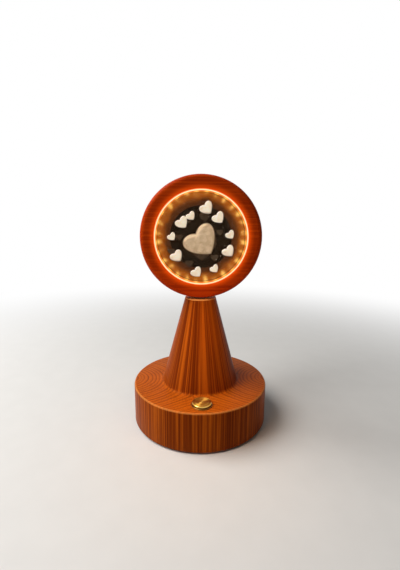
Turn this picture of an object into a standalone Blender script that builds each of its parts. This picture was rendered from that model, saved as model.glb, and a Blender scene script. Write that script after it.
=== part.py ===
"""Crystal night light: a turned wooden base and cone stem that carries a swivelling wooden ring.

The ring holds a thick round crystal lit from its edge by a strip of LEDs. A brass push-button on
the base switches the light, and a charging socket sits in the back of the base.

Metres, +Z up. The origin is the centre of the base on the surface that the feet stand on, the
button faces -Y and the charging socket faces +Y.
"""

import bpy
import bmesh
from math import acos, atan, cos, degrees, pi, radians, sin, tan
from mathutils import Matrix, Vector

# Fits and finish, shared by every piece
SEAT_GAP = 0.0003
OVERRUN = 0.004
MERGE = 0.00001

# Base drum and cone stem, one turned block
BASE_RADIUS = 0.064
BASE_HEIGHT = 0.0355
FLOOR_GAP = 0.0016
RIM_ROUND = 0.0016
HEEL_CHAMFER = 0.0008
STEM_HEIGHT = 0.0822
BASE_SHELF = 0.0275
STEM_TOP_RADIUS = 0.0146
STEM_EDGE = 0.0006
FOOT_FILLET = 0.0032
POCKET_ROOF = 0.010
STEM_BORE_RADIUS = 0.0100

# Bottom cover, its screws and the rubber feet
COVER_WALL = 0.008
COVER_LEDGE = 0.006
COVER_THICKNESS = 0.0024
COVER_RECESS = 0.0004
FOOT_RADIUS = 0.0065
FOOT_INSET = 0.017
FOOT_SEAT_DEPTH = 0.0008

# Self-tapping screws
SCREW_HEAD_RADIUS = 0.0019
SCREW_HEAD_HEIGHT = 0.0012
SCREW_SHANK_RADIUS = 0.0010
SCREW_LENGTH = 0.0065
SCREW_TIP = 0.0012

# Circuit board, its posts and the charging socket
BOARD_WIDTH = 0.022
BOARD_THICKNESS = 0.0016
BOARD_LENGTH = 0.0367
BOARD_LIFT = 0.0044
BOARD_POST_RADIUS = 0.0026
BOARD_HOLE_INSET = 0.0036
BOARD_END_GAP = 0.0008
CONNECTOR_SIZE = (0.0060, 0.0040, 0.0042)
CHIP_SIZE = (0.0060, 0.0060, 0.0014)
INDUCTOR_RADIUS = 0.0030
INDUCTOR_HEIGHT = 0.0030
SOCKET_WIDTH = 0.00894
SOCKET_HEIGHT = 0.00326
SOCKET_DEPTH = 0.0074
SOCKET_WALL = 0.0003
SOCKET_TONGUE = (0.0066, 0.0058, 0.0007)
SOCKET_BACK = 0.0010
PORT_WALL = 0.0040
PORT_NICHE_WIDTH = 0.026
PORT_PLATE_WIDTH = 0.0136
PORT_PLATE_HEIGHT = 0.0074
PORT_PLATE_THICKNESS = 0.0012
PORT_PLATE_INSET = 0.0007

# Battery
BATTERY_WIDTH = 0.034
BATTERY_HEIGHT = 0.008
BATTERY_FRONT_GAP = 0.0066
BATTERY_ROUND = 0.0012
BATTERY_BACK_GAP = 0.0060
PAD_THICKNESS = 0.0010
PAD_INSET = 0.0030
LEAD_RADIUS = 0.0008

# Lead from the switch to the board: its way round the cell, as shares of the pocket's radius
LEAD_ROUTE_SHARES = ((0.04, -0.96), (0.22, -0.85), (0.42, -0.62), (0.50, -0.24), (0.48, 0.16),
                     (0.38, 0.44))
LEAD_PAD_INSET = 0.0085

# Push-button in the front of the base
BUTTON_EDGE_DISTANCE = 0.0135
BUTTON_TRAVEL = 0.0005
COLLAR_RADIUS = 0.0090
COLLAR_THICKNESS = 0.0006
BARREL_RADIUS = 0.0074
BARREL_LENGTH = 0.0168
BARREL_BORE = 0.0067
CAP_FLANGE_RADIUS = 0.0083
CAP_THICKNESS = 0.0010
CAP_BEVEL = 0.0004
CAP_SKIRT_RADIUS = 0.0064
CAP_SKIRT_DEPTH = 0.0020
LEDGE_DEPTH = 0.0100
LEDGE_THICKNESS = 0.0018
PLUNGER_RADIUS = 0.0020
PLUNGER_STICKOUT = 0.0026
CLIP_RADIUS = 0.0036
CLIP_THICKNESS = 0.0006
GASKET_THICKNESS = 0.0005
GASKET_INSET = 0.0006
NUT_RADIUS = 0.0098
NUT_THICKNESS = 0.0026
NUT_WELL_CLEARANCE = 0.0006
SWITCH_RADIUS = 0.0062
SWITCH_HEIGHT = 0.0080
SWITCH_INSET = 0.0012
SWITCH_CLEARANCE = 0.0051
ACTUATOR_RADIUS = 0.0015
SPRING_WIRE_RADIUS = 0.00030
SPRING_COIL_RADIUS = 0.0042
SPRING_TURNS = 6

# Swivel between the stem and the head
HEAD_GAP = 0.0012
SPOT_FACE_RADIUS = 0.0100
SPOT_FACE_DEPTH = 0.0010
TUBE_RADIUS = 0.0050
TUBE_BORE = 0.0030
TUBE_FLANGE_RADIUS = 0.0076
TUBE_FLANGE_THICKNESS = 0.0012
FLANGE_POCKET_DEPTH = 0.0020
BUSH_WALL = 0.0015
BUSH_LENGTH = 0.0120
BUSH_FLANGE_RADIUS = 0.0086
BUSH_FLANGE_THICKNESS = 0.0010
NECK_WASHER_RADIUS = 0.0092
STOP_WASHER_RADIUS = 0.0070
STOP_WASHER_THICKNESS = 0.0010
STOP_TAB_REACH = 0.0090
STOP_TAB_WIDTH = 0.0020
STOP_PIN_RADIUS = 0.0008
STOP_PIN_CIRCLE = 0.0084
STOP_PIN_DROP = 0.0026
STOP_PIN_SET = 0.0060
LOCKNUT_RADIUS = 0.0074
LOCKNUT_THICKNESS = 0.0050
TUBE_END = 0.0014

# Head ring
RING_WALL = 0.0092
HEAD_DEPTH = 0.0270
RING_ROUND = 0.0046
BACK_ROUND = 0.0034
BACK_ROUND_SHARE = 0.8
LIP_THICKNESS = 0.0040
LIP_ROUND = 0.0009
GROOVE_CLEARANCE = 0.0030
BACK_LEDGE = 0.0046
BACK_COVER_THICKNESS = 0.0020
BACK_COVER_RECESS = 0.0003

# Crystal, light ring and what lies behind the crystal
CRYSTAL_RADIUS = 0.0400
CRYSTAL_EDGE = 0.0158
CRYSTAL_DOME = 0.0014
CRYSTAL_CHAMFER = 0.0008
CRYSTAL_INSET = 0.0019
DIFFUSER_WALL = 0.0018
DIFFUSER_LIP = 0.0010
DIFFUSER_LIP_THICKNESS = 0.0010
DIFFUSER_INSET = 0.0003
STRIP_WIDTH = 0.0080
STRIP_THICKNESS = 0.0005
LED_COUNT = 28
LED_LENGTH = 0.0035
LED_WIDTH = 0.0028
LED_HEIGHT = 0.0013
REFLECTOR_THICKNESS = 0.0008
REFLECTOR_SLOPE_WIDTH = 0.0111
REFLECTOR_FOOT_WIDTH = 0.0025
BACKING_LAP = 0.0005
BACKING_THICKNESS = 0.0010

# Two-core lead from the board to the light strip
STEM_LEAD_RADIUS = 0.0012

# Facets round each kind of turned piece
LARGE_STEPS = 56
INNER_STEPS = 48
SMALL_STEPS = 20
SCREW_STEPS = 8
ROUND_STEPS = 3

# Heights and radii worked out from the sizes above
base_top = FLOOR_GAP + BASE_HEIGHT
stem_foot_radius = BASE_RADIUS - BASE_SHELF
cover_radius = BASE_RADIUS - COVER_WALL
pocket_radius = cover_radius - COVER_LEDGE
foot_circle = cover_radius - FOOT_INSET
button_offset = BASE_RADIUS - BUTTON_EDGE_DISTANCE
stem_top = base_top + STEM_HEIGHT
pocket_top = base_top - POCKET_ROOF
cover_bottom = FLOOR_GAP + COVER_RECESS
cover_top = cover_bottom + COVER_THICKNESS
ledge_height = cover_top + SEAT_GAP
bush_radius = TUBE_RADIUS + SEAT_GAP + BUSH_WALL
shoulder = stem_top - BUSH_LENGTH
head_bottom = stem_top + HEAD_GAP
half_depth = HEAD_DEPTH / 2
diffuser_inner = CRYSTAL_RADIUS + SEAT_GAP
diffuser_outer = diffuser_inner + DIFFUSER_WALL
lip_radius = diffuser_outer + SEAT_GAP
reflector_foot_radius = diffuser_outer - REFLECTOR_SLOPE_WIDTH
reflector_inner_radius = reflector_foot_radius - REFLECTOR_FOOT_WIDTH
backing_radius = reflector_foot_radius + BACKING_LAP
groove_radius = lip_radius + GROOVE_CLEARANCE
head_radius = groove_radius + RING_WALL
head_height = head_bottom + head_radius
back_cover_radius = groove_radius + BACK_LEDGE
back_wall = head_radius - back_cover_radius - SEAT_GAP
strip_outer = groove_radius - SEAT_GAP
strip_inner = strip_outer - STRIP_THICKNESS
back_seat = -half_depth + BACK_COVER_RECESS + BACK_COVER_THICKNESS + SEAT_GAP
crystal_front = half_depth - CRYSTAL_INSET
crystal_back = crystal_front - CRYSTAL_EDGE
cover_circle = (pocket_radius + cover_radius) / 2
back_circle = (groove_radius + back_cover_radius) / 2
gasket_radius = COLLAR_RADIUS - GASKET_INSET
collar_bottom = base_top + SEAT_GAP
collar_top = collar_bottom + COLLAR_THICKNESS
cap_bottom = collar_top + BUTTON_TRAVEL + SEAT_GAP
ledge_top = collar_top - LEDGE_DEPTH
ledge_bottom = ledge_top - LEDGE_THICKNESS
plunger_end = ledge_bottom - PLUNGER_STICKOUT
barrel_end = collar_bottom - BARREL_LENGTH
switch_top = barrel_end + SWITCH_INSET
switch_bottom = switch_top - SWITCH_HEIGHT
board_bottom = cover_top + BOARD_LIFT
board_top = board_bottom + BOARD_THICKNESS
board_back = BASE_RADIUS - PORT_WALL - BOARD_END_GAP
board_front = board_back - BOARD_LENGTH
socket_height = board_top + SEAT_GAP + SOCKET_HEIGHT / 2
socket_mouth = BASE_RADIUS - PORT_PLATE_INSET
battery_back = board_front - BATTERY_BACK_GAP
battery_front = NUT_RADIUS + NUT_WELL_CLEARANCE + BATTERY_FRONT_GAP - button_offset
battery_bottom = cover_top + PAD_THICKNESS + 2 * SEAT_GAP
battery_top = battery_bottom + BATTERY_HEIGHT

WOOD = ("turned_wood", (0.42, 0.13, 0.035), 0.38, 0.0)
RING_WOOD = ("ring_wood", (0.36, 0.075, 0.02), 0.34, 0.0)
BRASS = ("brass", (0.80, 0.55, 0.22), 0.28, 1.0)
STEEL = ("steel", (0.60, 0.60, 0.62), 0.32, 1.0)
BLACK = ("black_plastic", (0.02, 0.02, 0.02), 0.5, 0.0)
RUBBER = ("black_rubber", (0.015, 0.015, 0.015), 0.8, 0.0)
NYLON = ("neck_nylon", (0.03, 0.025, 0.02), 0.55, 0.0)
BOARD = ("circuit_green", (0.02, 0.16, 0.07), 0.45, 0.0)
CELL = ("battery_foil", (0.55, 0.56, 0.58), 0.35, 0.6)
FOAM = ("foam_tape", (0.10, 0.10, 0.10), 0.9, 0.0)
LEAD = ("lead_sheath", (0.03, 0.03, 0.03), 0.5, 0.0)
GLASS = ("crystal_glass", (0.95, 0.95, 0.93), 0.02, 0.0)
DIFFUSER = ("warm_diffuser", (1.0, 0.78, 0.42), 0.4, 0.0)
LED = ("light_strip", (0.90, 0.86, 0.74), 0.4, 0.0)
AMBER = ("amber_reflector", (0.85, 0.45, 0.12), 0.22, 0.8)


def clear_scene():
    """Starts from an empty file, whatever was open."""
    for old in list(bpy.data.objects):
        bpy.data.objects.remove(old, do_unlink=True)
    for old in list(bpy.data.collections):
        bpy.data.collections.remove(old)


def new_collection(name):
    made = bpy.data.collections.new(name)
    bpy.context.scene.collection.children.link(made)
    return made


clear_scene()
PARTS = new_collection("crystal_night_light")
CUTTERS = new_collection("cutters")
MATERIALS = {}


def material(finish):
    """One Principled material for each finish, from its colour, roughness and metallic value."""
    name, colour, roughness, metallic = finish
    if name not in MATERIALS:
        made = bpy.data.materials.new(name)
        made.use_nodes = True
        shader = made.node_tree.nodes["Principled BSDF"]
        shader.inputs["Base Color"].default_value = (*colour, 1.0)
        shader.inputs["Roughness"].default_value = roughness
        shader.inputs["Metallic"].default_value = metallic
        MATERIALS[name] = made
    return MATERIALS[name]


def add_object(name, mesh, finish=None, place=(0, 0, 0), turn=(0, 0, 0)):
    """Links a mesh as a named piece, or as a cutter where it has no finish."""
    made = bpy.data.objects.new(name, mesh)
    made.location = place
    made.rotation_euler = turn
    if finish is None:
        CUTTERS.objects.link(made)
        made.hide_render = True
        made.display_type = "WIRE"
    else:
        PARTS.objects.link(made)
        mesh.materials.append(material(finish))
    return made


def turned(name, profile, steps, finish=None, closed=False, place=(0, 0, 0), turn=(0, 0, 0)):
    """Revolves a profile of (radius, height) points, listed down its outer side, about local Z."""
    mesh = bpy.data.meshes.new(name)
    bm = bmesh.new()
    points = [bm.verts.new((radius, 0, height)) for radius, height in profile]
    for first, second in zip(points, points[1:]):
        bm.edges.new((first, second))
    if closed:
        bm.edges.new((points[-1], points[0]))
    bm.to_mesh(mesh)
    bm.free()
    made = add_object(name, mesh, finish, place, turn)
    screw = made.modifiers.new("turn", "SCREW")
    screw.axis = "Z"
    screw.angle = 2 * pi
    screw.steps = steps
    screw.render_steps = steps
    screw.use_merge_vertices = True
    screw.merge_threshold = MERGE
    screw.use_smooth_shade = False
    return made


def cylinder(name, radius, low, high, steps, finish=None, centre=(0, 0)):
    """A plain upright cylinder between two heights."""
    mesh = bpy.data.meshes.new(name)
    bm = bmesh.new()
    bmesh.ops.create_cone(bm, cap_ends=True, segments=steps, radius1=radius, radius2=radius,
                          depth=high - low)
    bmesh.ops.translate(bm, verts=bm.verts, vec=(0, 0, (low + high) / 2))
    bm.to_mesh(mesh)
    bm.free()
    return add_object(name, mesh, finish, (*centre, 0))


def block(name, low, high, finish=None, rounding=0, place=(0, 0, 0), turn=(0, 0, 0)):
    """A box between two corners, with all its edges rounded where asked."""
    mesh = bpy.data.meshes.new(name)
    bm = bmesh.new()
    bmesh.ops.create_cube(bm, size=1)
    size = [b - a for a, b in zip(low, high)]
    middle = [(a + b) / 2 for a, b in zip(low, high)]
    bmesh.ops.scale(bm, verts=bm.verts, vec=size)
    bmesh.ops.translate(bm, verts=bm.verts, vec=middle)
    bm.to_mesh(mesh)
    bm.free()
    made = add_object(name, mesh, finish, place, turn)
    if rounding:
        bevel = made.modifiers.new("rounding", "BEVEL")
        bevel.width = rounding
        bevel.segments = 2
        bevel.limit_method = "NONE"
    return made


def oblong(name, width, height, low, high, level, finish=None):
    """A slot-shaped prism with round ends, wide along X and running along Y between two places."""
    mesh = bpy.data.meshes.new(name)
    bm = bmesh.new()
    radius = height / 2
    reach = width / 2 - radius
    turns = 6
    outline = []
    for side in (1, -1):
        for index in range(turns + 1):
            angle = side * pi / 2 - pi * index / turns
            outline.append((side * reach + radius * cos(angle), radius * sin(angle)))
    ring = [bm.verts.new((x, low, level + z)) for x, z in outline]
    face = bm.faces.new(ring)
    grown = bmesh.ops.extrude_face_region(bm, geom=[face])
    moved = [item for item in grown["geom"] if isinstance(item, bmesh.types.BMVert)]
    bmesh.ops.translate(bm, verts=moved, vec=(0, high - low, 0))
    bmesh.ops.recalc_face_normals(bm, faces=bm.faces)
    bm.to_mesh(mesh)
    bm.free()
    return add_object(name, mesh, finish)


def boolean(target, other, operation):
    """Cuts a piece with a cutter, or joins a shape to it."""
    made = target.modifiers.new(f"{operation.lower()} {other.name}", "BOOLEAN")
    made.operation = operation
    made.solver = "EXACT"
    made.object = other


def cut(target, other):
    boolean(target, other, "DIFFERENCE")


def join(target, other):
    boolean(target, other, "UNION")


def wire(name, points, radius, finish, smooth=True):
    """A round wire along a route: a smooth curve is read through the points, or they stay as given."""
    route = [Vector(point) for point in points]
    if smooth:
        route = smooth_route(route)
    curve = bpy.data.curves.new(name, "CURVE")
    curve.dimensions = "3D"
    curve.bevel_depth = radius
    curve.bevel_resolution = 1
    curve.use_fill_caps = True
    spline = curve.splines.new("POLY")
    spline.points.add(len(route) - 1)
    for target, point in zip(spline.points, route):
        target.co = (*point, 1)
    curve.materials.append(material(finish))
    made = bpy.data.objects.new(name, curve)
    PARTS.objects.link(made)
    return made


def smooth_route(points):
    """Catmull-Rom points between the route's own points, three to each stretch."""
    parts = 3
    ends = [points[0] * 2 - points[1]] + points + [points[-1] * 2 - points[-2]]
    route = []
    for index in range(1, len(ends) - 2):
        a, b, c, d = ends[index - 1:index + 3]
        for part in range(parts):
            t = part / parts
            route.append((b * 2 + (c - a) * t + (a * 2 - b * 5 + c * 4 - d) * t * t
                          + (b * 3 - a - c * 3 + d) * t * t * t) / 2)
    return route + [points[-1]]


def arc(centre, radius, start, end, steps=ROUND_STEPS):
    """Points of an arc in a profile, between two angles in degrees."""
    points = []
    for index in range(steps + 1):
        angle = radians(start + (end - start) * index / steps)
        points.append((centre[0] + radius * cos(angle), centre[1] + radius * sin(angle)))
    return points


def around(count, start=0):
    """The angles of a ring of like pieces."""
    return [radians(start) + 2 * pi * index / count for index in range(count)]


def carry(piece, axis_empty):
    """Parents a piece to the empty on its joint's axis and leaves it where it is."""
    piece.parent = axis_empty
    piece.matrix_parent_inverse = Matrix.Translation(-axis_empty.location)


def axis_empty(name, place):
    made = bpy.data.objects.new(name, None)
    made.location = place
    PARTS.objects.link(made)
    return made


def turned_wood_body():
    """Base drum and cone stem from one block, hollowed from below, with a bore up the stem."""
    slope = atan((stem_foot_radius - STEM_TOP_RADIUS) / STEM_HEIGHT)
    fillet_height = base_top + FOOT_FILLET
    cone_there = STEM_TOP_RADIUS + (stem_top - fillet_height) * tan(slope)
    fillet_centre = (cone_there + FOOT_FILLET / cos(slope), fillet_height)
    flange_seat = stem_top - BUSH_FLANGE_THICKNESS - SEAT_GAP
    rebate = cover_radius + SEAT_GAP
    bush_hole = bush_radius + SEAT_GAP
    flange_hole = BUSH_FLANGE_RADIUS + SEAT_GAP
    profile = [(flange_hole, stem_top),
               (STEM_TOP_RADIUS - STEM_EDGE, stem_top),
               (STEM_TOP_RADIUS, stem_top - STEM_EDGE)]
    profile += arc(fillet_centre, FOOT_FILLET, 180 + degrees(slope), 270)
    profile += arc((BASE_RADIUS - RIM_ROUND, base_top - RIM_ROUND), RIM_ROUND, 90, 0)
    profile += [(BASE_RADIUS, FLOOR_GAP + HEEL_CHAMFER),
                (BASE_RADIUS - HEEL_CHAMFER, FLOOR_GAP),
                (rebate, FLOOR_GAP),
                (rebate, ledge_height),
                (pocket_radius, ledge_height),
                (pocket_radius, pocket_top),
                (STEM_BORE_RADIUS, pocket_top),
                (STEM_BORE_RADIUS, shoulder),
                (bush_hole, shoulder),
                (bush_hole, flange_seat),
                (flange_hole, flange_seat)]
    body = turned("turned_wood_body", profile, LARGE_STEPS, WOOD, closed=True)
    cut_button_hole(body)
    cut_port(body)
    cut_screw_holes(body)
    pin_hole = STOP_PIN_RADIUS + SEAT_GAP / 2
    cut(body, cylinder("stop_pin_hole", pin_hole, shoulder - OVERRUN,
                       shoulder + STOP_PIN_SET + SEAT_GAP, SCREW_STEPS,
                       centre=(0, STOP_PIN_CIRCLE)))
    return body


def cut_button_hole(body):
    """The hole for the button's barrel, and the well that its nut is tightened in."""
    centre = (0, -button_offset)
    cut(body, cylinder("barrel_hole", BARREL_RADIUS + SEAT_GAP, pocket_top - OVERRUN,
                       base_top + OVERRUN, SMALL_STEPS, centre=centre))
    cut(body, cylinder("gasket_seat", gasket_radius + SEAT_GAP,
                       base_top - GASKET_THICKNESS - SEAT_GAP, base_top + OVERRUN, SMALL_STEPS,
                       centre=centre))
    cut(body, cylinder("nut_well", NUT_RADIUS + NUT_WELL_CLEARANCE,
                       switch_bottom - SWITCH_CLEARANCE, pocket_top, SMALL_STEPS, centre=centre))


def cut_port(body):
    """The niche behind the charging socket, the slot for its shell and the seat of its plate."""
    niche_top = socket_height + PORT_PLATE_HEIGHT
    cut(body, block("port_niche",
                    (-PORT_NICHE_WIDTH / 2, board_front, ledge_height - SEAT_GAP),
                    (PORT_NICHE_WIDTH / 2, BASE_RADIUS - PORT_WALL, niche_top)))
    cut(body, oblong("port_slot", SOCKET_WIDTH + 2 * SEAT_GAP, SOCKET_HEIGHT + 2 * SEAT_GAP,
                     BASE_RADIUS - PORT_WALL - OVERRUN, BASE_RADIUS + OVERRUN, socket_height))
    cut(body, oblong("port_plate_seat", PORT_PLATE_WIDTH + 2 * SEAT_GAP,
                     PORT_PLATE_HEIGHT + 2 * SEAT_GAP,
                     socket_mouth - PORT_PLATE_THICKNESS - SEAT_GAP,
                     BASE_RADIUS + OVERRUN, socket_height))


def cut_screw_holes(body):
    """Pilot holes for the bottom cover's screws."""
    depth = SCREW_LENGTH + 2 * SEAT_GAP
    for number, angle in enumerate(around(4, 45), 1):
        centre = (cover_circle * cos(angle), cover_circle * sin(angle))
        cut(body, cylinder(f"pilot_hole_{number}", SCREW_SHANK_RADIUS + SEAT_GAP, cover_bottom,
                           cover_bottom + depth, SCREW_STEPS, centre=centre))


def bottom_cover():
    """Black disc let into the underside, with two posts for the board and seats for the feet."""
    profile = [(0, cover_top), (cover_radius, cover_top), (cover_radius, cover_bottom),
               (0, cover_bottom)]
    cover = turned("bottom_cover", profile, LARGE_STEPS, BLACK)
    for number, place in enumerate(board_holes(), 1):
        join(cover, cylinder(f"board_post_{number}", BOARD_POST_RADIUS, cover_bottom + SEAT_GAP,
                             board_bottom - SEAT_GAP, SMALL_STEPS, centre=place))
        cut(cover, cylinder(f"post_hole_{number}", SCREW_SHANK_RADIUS + SEAT_GAP,
                            board_top - SCREW_LENGTH - SEAT_GAP, board_top, SCREW_STEPS,
                            centre=place))
    for number, angle in enumerate(around(4, 45), 1):
        x, y = cos(angle), sin(angle)
        screw_place = (cover_circle * x, cover_circle * y)
        cut(cover, cylinder(f"cover_hole_{number}", SCREW_SHANK_RADIUS + SEAT_GAP,
                            cover_bottom - OVERRUN, cover_top + OVERRUN, SCREW_STEPS,
                            centre=screw_place))
        cut(cover, cylinder(f"cover_sink_{number}", SCREW_HEAD_RADIUS + SEAT_GAP,
                            cover_bottom - OVERRUN, cover_bottom + SCREW_HEAD_HEIGHT,
                            SCREW_STEPS, centre=screw_place))
        cut(cover, cylinder(f"foot_seat_{number}", FOOT_RADIUS + SEAT_GAP,
                            cover_bottom - OVERRUN, cover_bottom + FOOT_SEAT_DEPTH, SMALL_STEPS,
                            centre=(foot_circle * x, foot_circle * y)))


def feet():
    """Four rubber feet that sit in the cover's seats."""
    top = cover_bottom + FOOT_SEAT_DEPTH - SEAT_GAP
    edge = FOOT_SEAT_DEPTH / 2
    profile = [(0, top), (FOOT_RADIUS, top), (FOOT_RADIUS, edge), (FOOT_RADIUS - edge, 0), (0, 0)]
    for number, angle in enumerate(around(4, 45), 1):
        turned(f"foot_{number}", profile, SMALL_STEPS, RUBBER,
               place=(foot_circle * cos(angle), foot_circle * sin(angle), 0))


def screw(name, head_seat, place, turn=(0, 0, 0), length=SCREW_LENGTH):
    """Pan-head screw that points down local -Z, with its head's underside at the seat height."""
    crown = SCREW_HEAD_HEIGHT / 3
    top = head_seat + SCREW_HEAD_HEIGHT - SEAT_GAP
    end = top - length
    profile = [(0, top),
               (SCREW_HEAD_RADIUS - crown, top),
               (SCREW_HEAD_RADIUS, top - crown),
               (SCREW_HEAD_RADIUS, head_seat + SEAT_GAP),
               (SCREW_SHANK_RADIUS, head_seat + SEAT_GAP),
               (SCREW_SHANK_RADIUS, end + SCREW_TIP),
               (0, end)]
    return turned(name, profile, SCREW_STEPS, STEEL, place=place, turn=turn)


def cover_screws():
    """Four screws that hold the bottom cover to the wood, driven from below."""
    for number, angle in enumerate(around(4, 45), 1):
        seat = -(cover_bottom + SCREW_HEAD_HEIGHT)
        screw(f"cover_screw_{number}", seat,
              (cover_circle * cos(angle), cover_circle * sin(angle), 0), (pi, 0, 0))


def board_holes():
    """Where the board's two screws go: opposite corners of the board."""
    side = BOARD_WIDTH / 2 - BOARD_HOLE_INSET
    return [(-side, board_front + BOARD_HOLE_INSET),
            (side, board_back - SOCKET_DEPTH - BOARD_HOLE_INSET)]


def circuit_board():
    """Charging and switching board with a lead connector, a chip and an inductor soldered on."""
    half = BOARD_WIDTH / 2
    board = block("circuit_board", (-half, board_front, board_bottom), (half, board_back, board_top),
                  BOARD)
    sunk = board_top - BOARD_THICKNESS / 2
    width, length, height = CONNECTOR_SIZE
    join(board, block("connector", (half - width, board_front, sunk),
                      (half, board_front + length, board_top + height)))
    middle = (board_front + board_back) / 2
    width, length, height = CHIP_SIZE
    join(board, block("chip", (-width / 2, middle - length / 2, sunk),
                      (width / 2, middle + length / 2, board_top + height)))
    join(board, cylinder("inductor", INDUCTOR_RADIUS, sunk, board_top + INDUCTOR_HEIGHT,
                         SCREW_STEPS, centre=(-half + BOARD_HOLE_INSET, middle)))
    for number, place in enumerate(board_holes(), 1):
        cut(board, cylinder(f"board_hole_{number}", SCREW_SHANK_RADIUS + SEAT_GAP,
                            board_bottom - OVERRUN, board_top + OVERRUN, SCREW_STEPS,
                            centre=place))
        screw(f"board_screw_{number}", board_top, (*place, 0))


def usb_socket():
    """Charging socket: an open steel shell with its contact tongue, soldered to the board."""
    back = socket_mouth - SOCKET_DEPTH
    shell = oblong("usb_socket", SOCKET_WIDTH, SOCKET_HEIGHT, back, socket_mouth, socket_height,
                   STEEL)
    cut(shell, oblong("socket_mouth", SOCKET_WIDTH - 2 * SOCKET_WALL,
                      SOCKET_HEIGHT - 2 * SOCKET_WALL, back + SOCKET_BACK,
                      socket_mouth + OVERRUN, socket_height))
    width, length, height = SOCKET_TONGUE
    join(shell, block("socket_tongue",
                      (-width / 2, back + SOCKET_BACK / 2, socket_height - height / 2),
                      (width / 2, back + SOCKET_BACK / 2 + length, socket_height + height / 2)))


def port_plate():
    """Black plate let into the back of the base round the charging socket."""
    back = socket_mouth - PORT_PLATE_THICKNESS
    plate = oblong("port_plate", PORT_PLATE_WIDTH, PORT_PLATE_HEIGHT, back, socket_mouth,
                   socket_height, BLACK)
    cut(plate, oblong("plate_slot", SOCKET_WIDTH + 2 * SEAT_GAP, SOCKET_HEIGHT + 2 * SEAT_GAP,
                      back - OVERRUN, socket_mouth + OVERRUN, socket_height))


def battery():
    """Flat rechargeable cell on a foam pad, and its lead to the board's connector."""
    half = BATTERY_WIDTH / 2
    block("battery_cell", (-half, battery_front, battery_bottom), (half, battery_back, battery_top),
          CELL, rounding=BATTERY_ROUND)
    block("battery_pad", (-half + PAD_INSET, battery_front + PAD_INSET, cover_top + SEAT_GAP),
          (half - PAD_INSET, battery_back - PAD_INSET, cover_top + SEAT_GAP + PAD_THICKNESS),
          FOAM)
    level = (battery_bottom + battery_top) / 2
    lead_x = BOARD_WIDTH / 2 - CONNECTOR_SIZE[0] / 2
    plug_level = board_top + CONNECTOR_SIZE[2] / 2
    wire("battery_lead", [(lead_x, battery_back + SEAT_GAP, level),
                          (lead_x, battery_back + BATTERY_BACK_GAP / 3, level),
                          (lead_x, board_front - BATTERY_BACK_GAP / 3, plug_level),
                          (lead_x, board_front - SEAT_GAP, plug_level)], LEAD_RADIUS, LEAD)


def button_fixed_parts():
    """Threaded brass barrel with its collar, the gasket under it, its ring nut and the switch."""
    place = (0, -button_offset, 0)
    profile = [(CAP_SKIRT_RADIUS + SEAT_GAP, collar_top),
               (COLLAR_RADIUS - COLLAR_THICKNESS / 2, collar_top),
               (COLLAR_RADIUS, collar_top - COLLAR_THICKNESS / 2),
               (COLLAR_RADIUS, collar_bottom),
               (BARREL_RADIUS, collar_bottom),
               (BARREL_RADIUS, barrel_end),
               (BARREL_BORE, barrel_end),
               (BARREL_BORE, ledge_bottom),
               (PLUNGER_RADIUS + SEAT_GAP, ledge_bottom),
               (PLUNGER_RADIUS + SEAT_GAP, ledge_top),
               (CAP_SKIRT_RADIUS + SEAT_GAP, ledge_top)]
    turned("button_barrel", profile, SMALL_STEPS, BRASS, closed=True, place=place)
    turned("button_gasket", ring_profile(BARREL_RADIUS + SEAT_GAP, gasket_radius,
                                         base_top - GASKET_THICKNESS, base_top),
           SMALL_STEPS, RUBBER, closed=True, place=place)
    nut_top = pocket_top - SEAT_GAP
    turned("button_nut", ring_profile(BARREL_RADIUS + SEAT_GAP, NUT_RADIUS,
                                      nut_top - NUT_THICKNESS, nut_top),
           SMALL_STEPS, BRASS, closed=True, place=place)
    actuator_top = plunger_end - BUTTON_TRAVEL - SEAT_GAP
    profile = [(0, actuator_top),
               (ACTUATOR_RADIUS, actuator_top),
               (ACTUATOR_RADIUS, switch_top),
               (SWITCH_RADIUS, switch_top),
               (SWITCH_RADIUS, switch_bottom),
               (0, switch_bottom)]
    turned("button_switch", profile, SMALL_STEPS, BLACK, place=place)
    board_side = BOARD_WIDTH / 2 + SEAT_GAP
    low = cover_top + 4 * LEAD_RADIUS
    raised = low + LEAD_RADIUS
    landing = board_bottom + LEAD_RADIUS
    pad = board_front + LEAD_PAD_INSET
    route = [(pocket_radius * x, pocket_radius * y, low) for x, y in LEAD_ROUTE_SHARES]
    route[0] = (*route[0][:2], raised)
    route[-1] = (*route[-1][:2], raised)
    wire("button_lead", [(0, -button_offset, switch_bottom - SEAT_GAP), *route,
                         (board_side + 3 * LEAD_RADIUS, pad - 5 * LEAD_RADIUS / 4, landing),
                         (board_side, pad, landing)], LEAD_RADIUS, LEAD)


def ring_profile(inner, outer, low, high):
    """Profile of a plain washer."""
    return [(inner, high), (outer, high), (outer, low), (inner, low)]


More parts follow.
